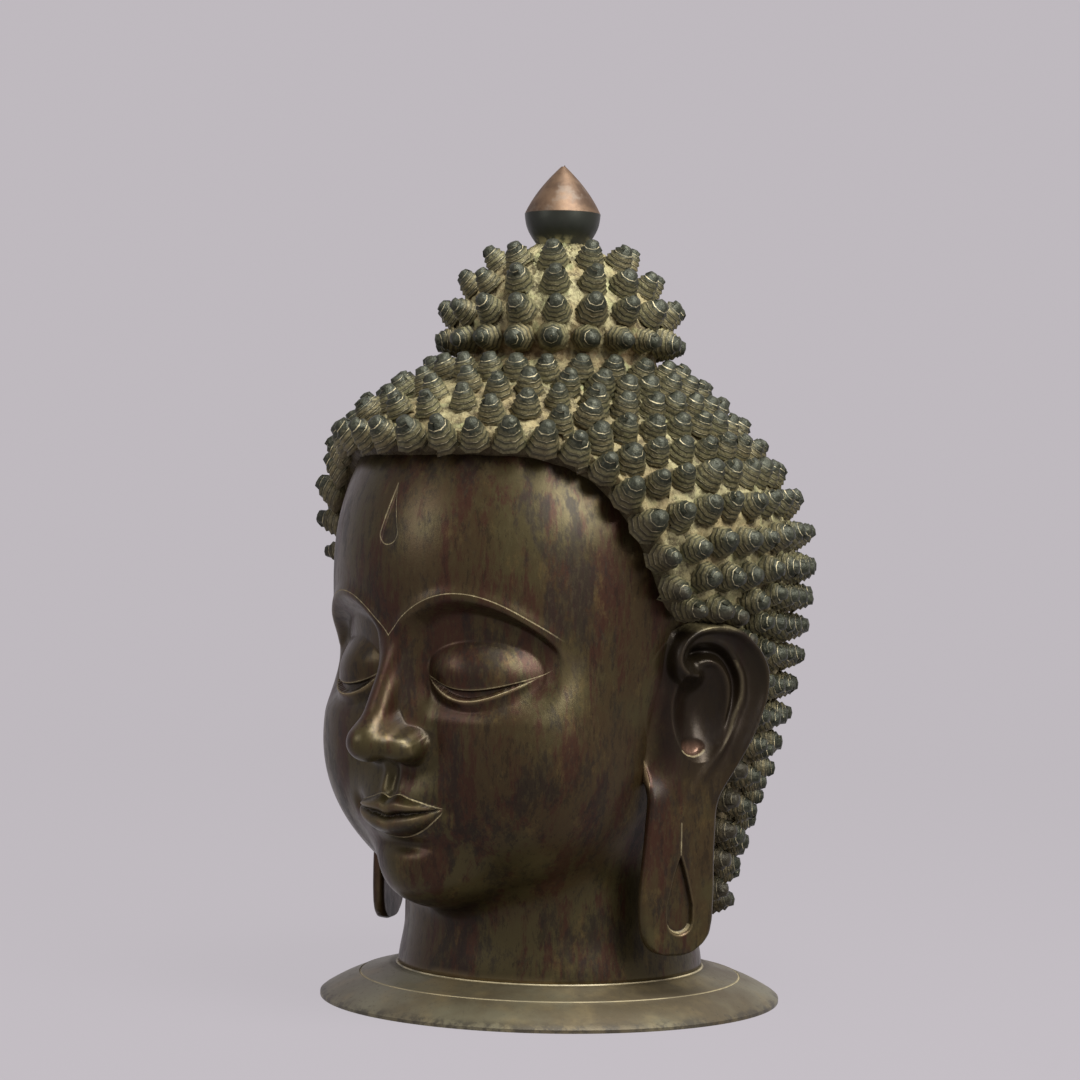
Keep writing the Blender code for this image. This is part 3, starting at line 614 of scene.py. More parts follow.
def waxed_brass(name, olive_share, lines, shade=None):
    """Dark waxed brass: clouds of olive and red, streaks that ran down, dust in chased lines.
    Painted shade darkens the hollows and the parts a shade function picks; on the ears the
    lines also paint highlights.
    """
    material, shader, base = start_material(name)
    cloud = base.noise(6.5, 5.0, 0.62).between(0.44, 0.57)
    streak = base.noise(8.0, 7.0, 0.74, (3.0, 3.0, 0.6)).between(0.48, 0.57)
    blotch = base.noise(13.0, 8.0, 0.76, (1.7, 1.7, 0.7)).between(0.50, 0.59)
    gold = base.noise(26.0, 6.0, 0.72, (1.5, 1.5, 0.8)).between(0.55, 0.70)
    fine = base.noise(170.0, 4.0, 0.7, (1.4, 1.4, 0.5)).between(0.48, 0.66)
    scuff = base.noise(48.0, 8.0, 0.80, (2.2, 2.2, 0.6)).between(0.53, 0.60)
    hollow = base.mark("hollow")
    colour = (cloud * olive_share).mixed(WARM_BROWN, OLIVE_BROWN)
    colour = (streak * 0.88).mixed(colour, RED_BROWN)
    colour = (gold * 0.55).mixed(colour, GOLD_BROWN)
    colour = (blotch * 0.72).mixed(colour, DEEP_BROWN)
    colour = (fine * 0.30).mixed(colour, OLIVE_BROWN)
    colour = (scuff * 0.50).mixed(colour, DEEP_BROWN)
    worn = (0 - hollow).between(0.06, 0.60)
    colour = (worn * 0.35).mixed(colour, BRIGHT_BRASS)
    # Painted shade: deep brown in the hollows of the surface.
    colour = (hollow.between(0.04, 0.5) * 0.65).mixed(colour, DEEP_BROWN)
    if shade:
        # Painted shade where a shade function is given, such as on the upper ear.
        colour = (shade(base) * 0.84).mixed(colour, DEEP_BROWN)
    colour = (base.mark("copper") * (0.60 + fine * 0.35)).mixed(colour, COPPER_RED)
    colour = (base.mark("bloom") * (0.55 + fine * 0.4)).mixed(colour, SEAM_BLOOM)
    # Pale dust in chased lines; on the ears the same mark also paints highlights.
    dust_and_highlight = lines(base)
    colour = (dust_and_highlight * (0.28 + fine * 0.36)).mixed(colour, LINE_DUST_AND_HIGHLIGHT)
    feed(shader, "Base Color", colour)
    feed(shader, "Metallic", 0.62 - dust_and_highlight * 0.5 - blotch * 0.12)
    feed(shader, "Roughness", 0.33 + streak * 0.05 + blotch * 0.08 + fine * 0.08 + dust_and_highlight * 0.3)
    grain = base.noise(420.0, 2.0, 0.5) * 0.25 + base.noise(38.0, 5.0, 0.65) - dust_and_highlight * 0.9
    feed(shader, "Normal", base.bumps(0.22, 0.0012, grain))
    shader.inputs["Specular IOR Level"].default_value = 0.22
    shader.inputs["Coat Roughness"].default_value = 0.30
    shader.inputs["Coat Weight"].default_value = 0.10
    return material


def thin_line(gap):
    """1 on a line as thin as a chasing tool cuts."""
    return 1 - gap.between(0.00028, 0.00072)


def bell(value, centre, width):
    """Bell-shaped rise to 1 at the centre, in a material."""
    reach = (value - centre) / width
    return value.maths("POWER", math.e, 0 - reach * reach)


def face_lines(base):
    """The chased lines of the face, seen from the front: brows, lids, lips and forehead mark."""
    side = base.along(0).size()
    height = base.along(2)
    arm = side - BROW_PEAK_X
    brow = (height - BROW_PEAK_Z - 0.005 + BROW_BEND * arm * arm).size()
    brow = brow / (1 + (2 * BROW_BEND) ** 2 * arm * arm).power(0.5)
    lines = thin_line(brow) * (1 - side.between(0.146, 0.160))
    across = (side - EYE_X) / EYE_HALF_WIDTH
    opening = 1 - across * across
    inner = across.between(-1.05, -0.95)
    upper = (height - EYE_Z - 0.0010 + UPPER_LID_DROP * opening).size()
    lines = lines + thin_line(upper) * inner * (1 - across.between(1.18, 1.32))
    lower = (height - EYE_Z + 0.0016 + LOWER_LID_DROP * opening).size()
    lines = lines + thin_line(lower) * inner * (1 - across.between(0.98, 1.10))
    q = side / MOUTH_HALF_WIDTH
    in_mouth = 1 - q.between(0.96, 1.0)
    bow = BOW_RISE * bell(side, BOW_X, BOW_WIDTH) - BOW_NOTCH * bell(side, 0, NOTCH_WIDTH)
    top = (height - MOUTH_Z - UPPER_LIP_HEIGHT + LIP_TAPER * q * q - bow).size()
    full = (1 - q * q).maths("MAXIMUM", 1 - q * q, 0.0).power(LOWER_LIP_POWER)
    bottom = (height - MOUTH_Z + LOWER_LIP_HEIGHT * full - MOUTH_CURVE * q * q).size()
    lines = lines + (thin_line(top) + thin_line(bottom)) * in_mouth
    along = (height - MARK_LOW) / (MARK_TIP - MARK_LOW)
    along = along.maths("MINIMUM", along.maths("MAXIMUM", along, 0.0), 1.0)
    below = along.maths("MINIMUM", height - MARK_LOW, 0.0)
    reach = (side * side + below * below).power(0.5)
    drop = (reach - MARK_RADIUS * (1 - along).power(MARK_POWER)).size()
    drop = drop / (1 + MARK_SLOPE * (1 - along)).power(0.5)
    lines = lines + thin_line(drop) * height.between(MARK_LOW - 0.016, MARK_LOW - 0.014) * (
        1 - height.between(MARK_TIP - 0.0005, MARK_TIP + 0.0005))
    return lines.maths("MINIMUM", lines, 1.0) * (0 - base.along(1)).between(0.08, 0.12)


skin_mesh.materials.append(waxed_brass("dark waxed brass", 0.85, face_lines))
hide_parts("head")
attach(skin, "root")


# Ears: part of the same casting, with a rolled rim that curls in at the front, a deep bowl
# and a long flat lobe with a blind drop-shaped recess. They stand on a plane turned outwards.
EAR_BASE = np.array((0.209, -0.042))
EAR_TURN = np.radians(24.9)
EAR_BOTTOM = 0.0675
EAR_TOP = 0.4115
EAR_JOINED_FROM = 0.262
EAR_THICKNESS = 0.013
EAR_EDGE = 0.006
STRAP_TOP = 0.240
LOBE_ROWS = 110
UPPER_EAR_ROWS = 230
EAR_COLUMNS = 124
CHEEK_SLOPE_DEPTH = 0.032
BOWL_DEPTH = 0.0180
POCKET_DEPTH = 0.0045
RIM_ROLL = 0.0110
RIM_CREST = 0.0045
FOLD_RISE = 0.0045
RIM_GROOVE_DEPTH = 0.0080
BOWL_EDGE_RISE = 0.0040
OUTSIDE_STEP = 0.0075
NOTCH_DEPTH = 0.0080
ROOT_DEPTH = 0.034
DROP_RADIUS = 0.0155
DROP_BOTTOM = 0.089
DROP_TIP = 0.171
DROP_DEPTH = 0.0065
# Height, front edge and rear edge of the ear's outline
EAR_OUTLINE = (
    (0.0675, -0.010, 0.000),
    (0.0700, -0.022, 0.012),
    (0.0760, -0.033, 0.024),
    (0.0860, -0.040, 0.034),
    (0.1000, -0.043, 0.0385),
    (0.1200, -0.044, 0.040),
    (0.1900, -0.039, 0.041),
    (0.2300, -0.036, 0.045),
    (0.2620, -0.036, 0.062),
    (0.2850, -0.041, 0.074),
    (0.3100, -0.050, 0.086),
    (0.3450, -0.054, 0.096),
    (0.3650, -0.050, 0.096),
    (0.3900, -0.030, 0.079),
    (0.4060, -0.004, 0.054),
    (0.4115, 0.012, 0.034),
)
# Lines of the carving, as places on the ear's plane: the rim's edge from its curled-in end
# round the top and down behind, the fold inside the rim, the groove, and the bowl's edge
RIM_EDGE = (
    (0.013, 0.355), (0.000, 0.357), (-0.008, 0.363), (-0.0115, 0.372), (-0.009, 0.383), (-0.001, 0.394),
    (0.013, 0.402), (0.035, 0.4055), (0.057, 0.400), (0.071, 0.390), (0.082, 0.377), (0.089, 0.362),
    (0.0905, 0.344), (0.088, 0.327), (0.081, 0.309), (0.071, 0.289), (0.061, 0.268), (0.048, 0.240),
    (0.039, 0.210),
)
RIM_FOLD = (
    (0.003, 0.379), (0.012, 0.388), (0.028, 0.390), (0.046, 0.384), (0.058, 0.370), (0.0655, 0.353),
    (0.0655, 0.333), (0.059, 0.315), (0.051, 0.295), (0.039, 0.273), (0.023, 0.250), (0.010, 0.225),
)
RIM_GROOVE = (
    (0.009, 0.378), (0.030, 0.3805), (0.0465, 0.3725), (0.0580, 0.353), (0.0590, 0.333), (0.0535, 0.313),
    (0.045, 0.292), (0.033, 0.270),
)
BOWL_EDGE = (
    (0.018, 0.370), (0.038, 0.367), (0.050, 0.350), (0.0525, 0.327), (0.047, 0.305), (0.041, 0.289),
)


def curve_through(stations, value, column):
    """Smooth curve through stations of (position, size, ...), read at any position."""
    table = np.array(stations)
    at, size = table[:, 0], table[:, column]
    slope = np.gradient(size, at)
    i = np.clip(np.searchsorted(at, value) - 1, 0, len(at) - 2)
    span = at[i + 1] - at[i]
    t = np.clip((value - at[i]) / span, 0, 1)
    start = (1 + 2 * t) * (1 - t) ** 2 * size[i] + t * (1 - t) ** 2 * span * slope[i]
    end = t * t * (3 - 2 * t) * size[i + 1] + t * t * (t - 1) * span * slope[i + 1]
    return start + end


def rounded(path, parts=8):
    """A smooth chain through the path's points."""
    table = np.array(path)
    at = np.arange(len(table))
    stations = np.column_stack([at, table])
    fine = np.linspace(0, len(table) - 1, (len(table) - 1) * parts + 1)
    return np.stack([curve_through(stations, fine, 1), curve_through(stations, fine, 2)], axis=-1)


def path_distance(t, z, path):
    """Distance from each point to a chain of straight runs."""
    best = np.full(t.shape, 1.0)
    for (t0, z0), (t1, z1) in zip(path, path[1:]):
        run = np.array((t1 - t0, z1 - z0))
        along = np.clip(((t - t0) * run[0] + (z - z0) * run[1]) / (run @ run), 0, 1)
        best = np.minimum(best, np.hypot(t - t0 - along * run[0], z - z0 - along * run[1]))
    return best


def drop_gap(t, z):
    """Distance into the lobe's drop-shaped recess: above 0 inside it."""
    centre = DROP_BOTTOM + DROP_RADIUS
    half = DROP_RADIUS * np.clip((DROP_TIP - z) / (DROP_TIP - centre - 0.015), 0, 1) ** 0.75
    return np.where(z > centre, half - np.abs(t), DROP_RADIUS - np.hypot(t, z - centre))


def pocket_gap(t, z):
    """Below 1 inside the small pocket at the foot of the bowl."""
    return np.hypot((t - 0.0134) / 0.0150, (z - 0.283) / 0.0105)


def joined_share(z):
    """0 on the free lobe, 1 where the ear grows out of the head."""
    return ease(z, EAR_JOINED_FROM - 0.038, EAR_JOINED_FROM + 0.018)


def ear_front(t, z):
    """Height of the carved side of the ear."""
    by_rim = ease(z, 0.335, 0.358)
    before_bowl = 1 - ease(t, -0.052 + 0.014 * by_rim, -0.002 - 0.012 * by_rim)
    height = -CHEEK_SLOPE_DEPTH * joined_share(z) * before_bowl
    bowl = ((t - 0.019) / 0.031) ** 2 + ((z - 0.320) / 0.054) ** 2
    height = height - BOWL_DEPTH * np.clip(1 - bowl, 0, 1) ** 1.1
    pocket = (1 - ease(pocket_gap(t, z), 0.70, 1.02)) * (1 - ease(z, 0.276, 0.293))
    height = height - POCKET_DEPTH * pocket
    outside = np.hypot((t - 0.030) / 0.046, (z - 0.372) / 0.0375)
    height = height - OUTSIDE_STEP * ease(outside, 0.98, 1.12) * by_rim * (1 - ease(t, 0.000, 0.030))
    edge_gap = path_distance(t, z, rounded(RIM_EDGE))
    relief = RIM_ROLL * hill(edge_gap, 0, 0.0125) + RIM_CREST * hill(edge_gap, 0, 0.0048)
    relief += FOLD_RISE * hill(path_distance(t, z, rounded(RIM_FOLD)), 0, 0.0052)
    inner = RIM_GROOVE_DEPTH * hill(path_distance(t, z, rounded(RIM_GROOVE)), 0, 0.0060)
    inner -= BOWL_EDGE_RISE * hill(path_distance(t, z, rounded(BOWL_EDGE)), 0, 0.0052)
    relief -= inner * ease(z, 0.272, 0.318)
    relief -= NOTCH_DEPTH * hill(np.hypot(t - 0.012, z - 0.3775), 0, 0.0095)
    height = height + relief * ease(z, 0.205, 0.300)
    return height - DROP_DEPTH * ease(drop_gap(t, z), 0.0, 0.0035)


def ear_spot(t, off):
    """Where a place on the ear's plane, or off it, lies on the left side of the head."""
    return (EAR_BASE[0] + t * np.sin(EAR_TURN) + off * np.cos(EAR_TURN),
            EAR_BASE[1] + t * np.cos(EAR_TURN) - off * np.sin(EAR_TURN))


def skin_under_ear(t, z):
    """How far the head's skin lies off the ear's plane."""
    off = np.full(t.shape, 0.050)
    for _ in range(45):
        off = off - 0.69 * skin_distance(np.stack([*ear_spot(t, off), z], axis=-1))
    return off


def ear_mesh(side):
    """One ear with its long lobe: a carved front, a plain back and a rounded edge."""
    lobe_rows = 1 - np.cos(np.linspace(0.03, np.pi / 2, LOBE_ROWS, endpoint=False))
    upper_rows = np.sin(np.linspace(0, np.pi / 2 - 0.04, UPPER_EAR_ROWS))
    height = np.concatenate([EAR_BOTTOM + (STRAP_TOP - EAR_BOTTOM) * lobe_rows,
                             STRAP_TOP + (EAR_TOP - STRAP_TOP) * upper_rows])
    across = (1 - np.cos(np.linspace(0, np.pi, EAR_COLUMNS))) / 2 * 0.35
    across = across + np.linspace(0, 1, EAR_COLUMNS) * 0.65
    z, u = np.meshgrid(height, across, indexing="ij")
    front_edge = curve_through(EAR_OUTLINE, z, 1)
    rear_edge = curve_through(EAR_OUTLINE, z, 2)
    t = front_edge + (rear_edge - front_edge) * u
    from_front = (t - front_edge) + EAR_EDGE * ease(z, 0.240, 0.285)
    edge = np.minimum.reduce([from_front, rear_edge - t, 1.5 * (z - EAR_BOTTOM), 1.5 * (EAR_TOP - z)])
    fullness = np.sqrt(np.clip(1 - (1 - np.clip(edge / EAR_EDGE, 0, 1)) ** 2, 0, 1))
    middle = -EAR_THICKNESS / 2
    front = middle + (ear_front(t, z) - middle) * fullness
    dip = 0.0016 * (1 - ease(t - front_edge, 0, 0.014)) + 0.0016 * (1 - ease(EAR_TOP - z, 0, 0.010))
    on_skin = skin_under_ear(t, z) + 0.0005 - dip
    front = -fillet_union(-front, -on_skin, 0.009)
    root = joined_share(z) * (1 - ease(t, -0.010, 0.070)) * ROOT_DEPTH
    back = middle - root - (EAR_THICKNESS / 2) * fullness
    back = np.minimum(back, front - 0.002)
    keep = slice(None, None, -3)
    x, y = ear_spot(np.concatenate([t, t[:, keep]], axis=1), np.concatenate([front, back[:, keep]], axis=1))
    points = np.stack([side * x, y, np.broadcast_to(height[:, None], x.shape)], axis=-1)
    mesh = grid_mesh("ear", points if side < 0 else points[:, ::-1], closed_round=True)
    tidy = bmesh.new()
    tidy.from_mesh(mesh)
    bmesh.ops.recalc_face_normals(tidy, faces=tidy.faces)
    tidy.to_mesh(mesh)
    tidy.free()
    return mesh


def ear_dust_and_highlights(mesh, side):
    """Marks the pale lines and the painted highlights on the drop's lower edge, the pocket's lower
    lip and the fold, the copper pocket, the bloom where the ear's top meets the hair, and how far
    the painted shade reaches behind the cheek.
    """
    places = np.empty(len(mesh.vertices) * 3)
    mesh.vertices.foreach_get("co", places)
    x, y, z = places.reshape(-1, 3).T
    along = (side * x - EAR_BASE[0]) * np.sin(EAR_TURN) + (y - EAR_BASE[1]) * np.cos(EAR_TURN)
    off = (side * x - EAR_BASE[0]) * np.cos(EAR_TURN) - (y - EAR_BASE[1]) * np.sin(EAR_TURN)
    facing = off > -EAR_THICKNESS / 2 - 0.022 * joined_share(z)
    # Painted highlight: a pale line along the lower edge of the drop-shaped recess.
    edge = np.clip(1 - np.abs(drop_gap(along, z) - 0.0025) / 0.0016, 0, 1) * (z < 0.100)
    stem = np.clip(1 - np.abs(along) / 0.0016, 0, 1) * (z > DROP_TIP) * (z < 0.205)
    pocket = pocket_gap(along, z)
    # Painted highlight on the pocket's lower lip.
    lip = np.clip(1 - np.abs(pocket - 1.02) / 0.10, 0, 1) * (z < 0.279)
    # Painted highlight along the crest of the fold.
    fold = hill(path_distance(along, z, rounded(RIM_FOLD)), 0, 0.0022) * ease(z, 0.265, 0.290) * (z < 0.372)
    paint(mesh, "groove", np.maximum.reduce([edge, 0.55 * stem, lip, 0.30 * fold]) * facing)
    paint(mesh, "copper", (1 - ease(pocket, 0.72, 1.12)) * (1 - ease(z, 0.279, 0.291)) * facing)
    paint(mesh, "bloom", ease(z, 0.3990, 0.4080))
    paint(mesh, "behind_cheek", ease(along, -0.042, -0.012))


def ear_lines(base):
    # The ear's pale lines, with its painted highlights.
    return base.mark("groove").between(0.10, 0.62)


def ear_shade(base):
    """Painted shade on the upper ear, darker than its lobe, fading out towards the cheek."""
    high = (base.along(2) + base.noise(12.0, 4.0) * 0.05 - 0.025).between(0.215, 0.285)
    return high * base.mark("behind_cheek")


ear_metal = waxed_brass("dark waxed brass of the ears", 0.95, ear_lines, ear_shade)
for side, name in ((1, "left_ear"), (-1, "right_ear")):
    mesh = ear_mesh(side)
    mesh.name = name
    mark_hollows(mesh)
    ear_dust_and_highlights(mesh, side)
    mesh.shade_smooth()
    mesh.materials.append(ear_metal)
    ear = bpy.data.objects.new(name, mesh)
    bpy.context.scene.collection.objects.link(ear)
    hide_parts("head")
    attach(ear, "root")


# Ground of the hair: the rough casting skin between the curls, never polished, so it keeps a
# pale yellow-green bloom. It stands a finger's width proud of the forehead.
TOP_KNOT_HEIGHT = 0.8117
CREASE_HEIGHT = 0.696
# Height, half width, reach to the front and reach to the back of the hair's ground
HAIR_SECTIONS = (
    (0.085, 0.160, 0.160, 0.186),
    (0.145, 0.172, 0.180, 0.197),
    (0.210, 0.186, 0.220, 0.226),
    (0.290, 0.205, 0.250, 0.260),
    (0.370, 0.217, 0.262, 0.288),
    (0.405, 0.221, 0.268, 0.294),
    (0.440, 0.231, 0.272, 0.292),
    (0.500, 0.244, 0.276, 0.272),
    (0.540, 0.236, 0.273, 0.246),
    (0.580, 0.206, 0.262, 0.219),
    (0.620, 0.166, 0.228, 0.184),
    (0.650, 0.134, 0.174, 0.151),
    (0.675, 0.108, 0.124, 0.118),
    (0.688, 0.101, 0.104, 0.104),
    (0.700, 0.109, 0.109, 0.109),
    (0.720, 0.114, 0.114, 0.114),
    (0.745, 0.103, 0.103, 0.103),
    (0.770, 0.084, 0.084, 0.084),
    (0.790, 0.063, 0.063, 0.063),
    (0.804, 0.042, 0.042, 0.042),
    (0.8117, 0.029, 0.029, 0.029),
)
# Azimuth from the front in degrees, and height of the hair's lower edge
HAIRLINE = (
    (0, 0.576), (20, 0.576), (38, 0.569), (50, 0.548), (58, 0.516), (65, 0.472), (70, 0.434),
    (76, 0.414), (84, 0.414), (93, 0.404), (101, 0.355), (105, 0.290), (108, 0.200), (113, 0.130),
    (124, 0.100), (150, 0.092), (180, 0.090),
)
# Number of curls in each row of the top-knot, and the row's height
TOP_KNOT_ROWS = ((20, 0.7060), (19, 0.7305), (15, 0.7600), (11, 0.7860))
SHOULDER_HEIGHT = 0.662
CURL_SPACING = 0.0350
CURL_EDGE_RISE = 0.0130
ROW_SPACING = 0.87
CLEAR_OF_ROWS = 0.62
SPREAD_ROUNDS = 60
SPREAD_REACH = 1.25
SPREAD_PUSH = 0.16
EDGE_SLOPE = 0.024


def hair_radius(azimuth, height):
    """Radius of the hair's ground: an egg, longer to the front or the back than to the sides."""
    width = curve_through(HAIR_SECTIONS, height, 1)
    depth = np.where(np.cos(azimuth) > 0, curve_through(HAIR_SECTIONS, height, 2),
                     curve_through(HAIR_SECTIONS, height, 3))
    return 1 / np.sqrt((np.sin(azimuth) / width) ** 2 + (np.cos(azimuth) / depth) ** 2)


def hair_point(azimuth, height):
    radius = hair_radius(azimuth, height)
    return np.stack([radius * np.sin(azimuth), -radius * np.cos(azimuth), height], axis=-1)


def hairline_height(azimuth):
    degrees = np.degrees(np.abs((azimuth + np.pi) % (2 * np.pi) - np.pi))
    return curve_through(HAIRLINE, degrees, 1)


def hair_normal(azimuth, height):
    """Outward direction of the hair's ground."""
    small = 0.002
    across = hair_point(azimuth + small, height) - hair_point(azimuth - small, height)
    up = hair_point(azimuth, height + small) - hair_point(azimuth, height - small)
    normal = np.cross(across, up)
    return normal / np.linalg.norm(normal, axis=-1, keepdims=True)


def even_steps(points, spacing):
    """Length along a chain of points, and how many steps of about the spacing it holds."""
    run = np.concatenate([[0], np.cumsum(np.linalg.norm(np.diff(points, axis=0), axis=1))])
    return run, max(2, int(round(run[-1] / spacing)))


def curl_places():
    """Azimuth and height of every curl: a row on the hairline, rows on the top-knot, the rest even."""
    turn = np.linspace(-np.pi, np.pi, 1441)
    edge = hair_point(turn, hairline_height(turn) + CURL_EDGE_RISE)
    run, count = even_steps(edge, CURL_SPACING)
    first = np.interp(np.arange(count) / count * run[-1], run, turn)
    fixed = [(azimuth, hairline_height(azimuth) + CURL_EDGE_RISE) for azimuth in first]
    for row, (number, height) in enumerate(TOP_KNOT_ROWS):
        for i in range(number):
            fixed.append(((i + 0.5 * (row % 2)) / number * 2 * np.pi - np.pi, height))
    fixed = np.array(fixed)
    fixed_points = hair_point(fixed[:, 0], fixed[:, 1])

    loose = []
    profile = np.linspace(0.100, SHOULDER_HEIGHT, 600)
    side_line = hair_point(np.full(600, 2.2), profile)
    run, count = even_steps(side_line, CURL_SPACING * ROW_SPACING)
    for row, height in enumerate(np.interp(np.arange(count + 1) / count * run[-1], run, profile)):
        ring = hair_point(turn, np.full(turn.shape, height))
        ring_run, number = even_steps(ring, CURL_SPACING)
        at = (np.arange(number) + 0.5 * (row % 2)) / number * ring_run[-1]
        for azimuth in np.interp(at, ring_run, turn):
            place = hair_point(azimuth, height)
            clear = np.min(np.linalg.norm(fixed_points - place, axis=1))
            if height > hairline_height(azimuth) + CURL_EDGE_RISE and clear > CURL_SPACING * CLEAR_OF_ROWS:
                loose.append((azimuth, height))
    loose = np.array(loose)

    for _ in range(SPREAD_ROUNDS):
        moving = hair_point(loose[:, 0], loose[:, 1])
        others = np.concatenate([moving, fixed_points])
        apart = moving[:, None, :] - others[None, :, :]
        gap = np.linalg.norm(apart, axis=-1)
        gap[np.arange(len(moving)), np.arange(len(moving))] = 1
        push = np.clip(SPREAD_REACH * CURL_SPACING - gap, 0, None) / gap
        moved = moving + SPREAD_PUSH * np.einsum("ij,ijk->ik", push, apart)
        azimuth = np.arctan2(moved[:, 0], -moved[:, 1])
        height = np.clip(moved[:, 2], hairline_height(azimuth) + CURL_EDGE_RISE, SHOULDER_HEIGHT)
        loose = np.stack([azimuth, height], axis=-1)
    return np.concatenate([fixed, loose])


def edge_step(azimuth):
    """How far the hair's outline stands out from the skin at the hairline."""
    height = hairline_height(azimuth)
    skin_radius = np.linalg.norm(ray_hits(skin_distance, azimuth, height, fall=0)[..., :2], axis=-1)
    return np.clip(hair_radius(azimuth, height) - skin_radius + 0.001, 0.004, 0.040)


def edge_sink(azimuth, height, step):
    """How far the ground lies inside the hair's outline near the hairline, where it slopes in."""
    rise = np.clip((height - hairline_height(azimuth)) / EDGE_SLOPE, 0, 1)
    return step * (1 - rise ** 0.75)


def moved_in(points, distance):
    """Points moved level towards the upright axis."""
    out = points * (1, 1, 0)
    return points - out / np.linalg.norm(out, axis=-1, keepdims=True) * distance[..., None]


curls = curl_places()
curl_sink = edge_sink(curls[:, 0], curls[:, 1], edge_step(curls[:, 0]))
curl_points = moved_in(hair_point(curls[:, 0], curls[:, 1]), curl_sink)
chance = np.random.default_rng(11)

GROUND_COLUMNS = 440
GROUND_ROWS = 205
TUCKED_ROWS = 5
TUCK = 0.014
MOUND_HEIGHT = 0.0050
MOUND_REACH = 0.0165
ROUGHNESS = 0.0018
GROUND_SINK = 0.0005
ground_azimuth = np.linspace(-np.pi, np.pi, GROUND_COLUMNS, endpoint=False)
step_in = edge_step(ground_azimuth)
ground_points = np.empty((GROUND_ROWS, GROUND_COLUMNS, 3))
for j, azimuth in enumerate(ground_azimuth):
    foot = hairline_height(azimuth)
    column = np.linspace(foot, TOP_KNOT_HEIGHT, 900)
    around = np.full(900, azimuth)
    outline = moved_in(hair_point(around, column), edge_sink(around, column, step_in[j]))
    run, _ = even_steps(outline, CURL_SPACING)
    even = np.linspace(0, run[-1], GROUND_ROWS - TUCKED_ROWS)
    for axis in range(3):
        ground_points[TUCKED_ROWS:, j, axis] = np.interp(even, run, outline[:, axis])
    tuck = TUCK * (1 - np.arange(TUCKED_ROWS) / TUCKED_ROWS)
    ground_points[:TUCKED_ROWS, j] = moved_in(np.tile(outline[0], (TUCKED_ROWS, 1)), tuck)

flat_points = ground_points.reshape(-1, 3)
curl_tree = kdtree.KDTree(len(curl_points))
for i, place in enumerate(curl_points):
    curl_tree.insert(place, i)
curl_tree.balance()
curl_gap = nearest_gap(curl_tree, flat_points)
outward = hair_normal(np.arctan2(flat_points[:, 0], -flat_points[:, 1]),
                      np.clip(flat_points[:, 2], 0.09, 0.81))
mound = np.exp(-(curl_gap / MOUND_REACH) ** 2)
rough = chance.normal(0, 1.25, (GROUND_ROWS, GROUND_COLUMNS))
for _ in range(2):
    beside = np.roll(rough, 1, 1) + np.roll(rough, -1, 1)
    above_below = np.roll(rough, 1, 0) + np.roll(rough, -1, 0)
    rough = (rough + beside + above_below) / 5
raised = MOUND_HEIGHT * mound - GROUND_SINK + ROUGHNESS * rough.ravel()
settled = flat_points + outward * raised[:, None]
ground_mesh = grid_mesh("hair_ground", settled.reshape(ground_points.shape), closed_round=True)
mark_hollows(ground_mesh)
# The mound's share also places the painted shade round the curls' feet.
paint(ground_mesh, "mound", mound)
above_edge = flat_points[:, 2] - hairline_height(np.arctan2(flat_points[:, 0], -flat_points[:, 1]))
paint(ground_mesh, "above_edge", above_edge)
ground_mesh.shade_smooth()
ground = bpy.data.objects.new("hair_ground", ground_mesh)
bpy.context.scene.collection.objects.link(ground)

BLOOM = (0.272, 0.246, 0.128)
BLOOM_TAN = (0.215, 0.168, 0.080)
BLOOM_GREEN = (0.175, 0.192, 0.084)
EARTH_AND_SHADE = (0.048, 0.036, 0.018)
RUST = (0.140, 0.080, 0.036)
HAIRLINE_SHADE_BROWN = (0.032, 0.021, 0.010)
CRUST = (0.115, 0.098, 0.048)
LOW_BROWN = (0.150, 0.112, 0.060)


def verdigris_mix(base):
    """Pale bloom with tan and green clouds, browner low down."""
    cloud = base.noise(14.0, 5.0, 0.65).between(0.38, 0.62)
    green = base.noise(31.0, 4.0, 0.6).between(0.50, 0.68)
    low = 1 - (base.along(2) + base.noise(9.0, 3.0) * 0.22 - 0.11).between(0.23, 0.44)
    colour = cloud.mixed(BLOOM, BLOOM_TAN)
    colour = (green * 0.7).mixed(colour, BLOOM_GREEN)
    return (low * 0.62).mixed(colour, LOW_BROWN), low


ground_metal, shader, base = start_material("bloomed brass ground")
colour, low = verdigris_mix(base)
scratch = base.noise(170.0, 3.0, 0.6, (1.0, 1.0, 0.35))
pit = base.noise(85.0, 5.0, 0.75).between(0.50, 0.62)
crust = base.noise(42.0, 6.0, 0.75).between(0.47, 0.60)
colour = (crust * 0.68).mixed(colour, CRUST)
colour = (pit * 0.78).mixed(colour, EARTH_AND_SHADE)
# Painted shade round each curl's foot, where the curls shade the ground.
colour = (base.mark("mound").between(0.30, 0.56) * 0.66).mixed(colour, EARTH_AND_SHADE)
# Painted shade in the hollows of the ground.
colour = (base.mark("hollow").between(0.02, 0.35) * 0.60).mixed(colour, EARTH_AND_SHADE)
crease = (base.along(2) - CREASE_HEIGHT).size()
rust = (1 - crease.between(0.006, 0.026)) * base.noise(34.0, 4.0, 0.65).between(0.44, 0.60)
colour = (rust * 0.55).mixed(colour, RUST)
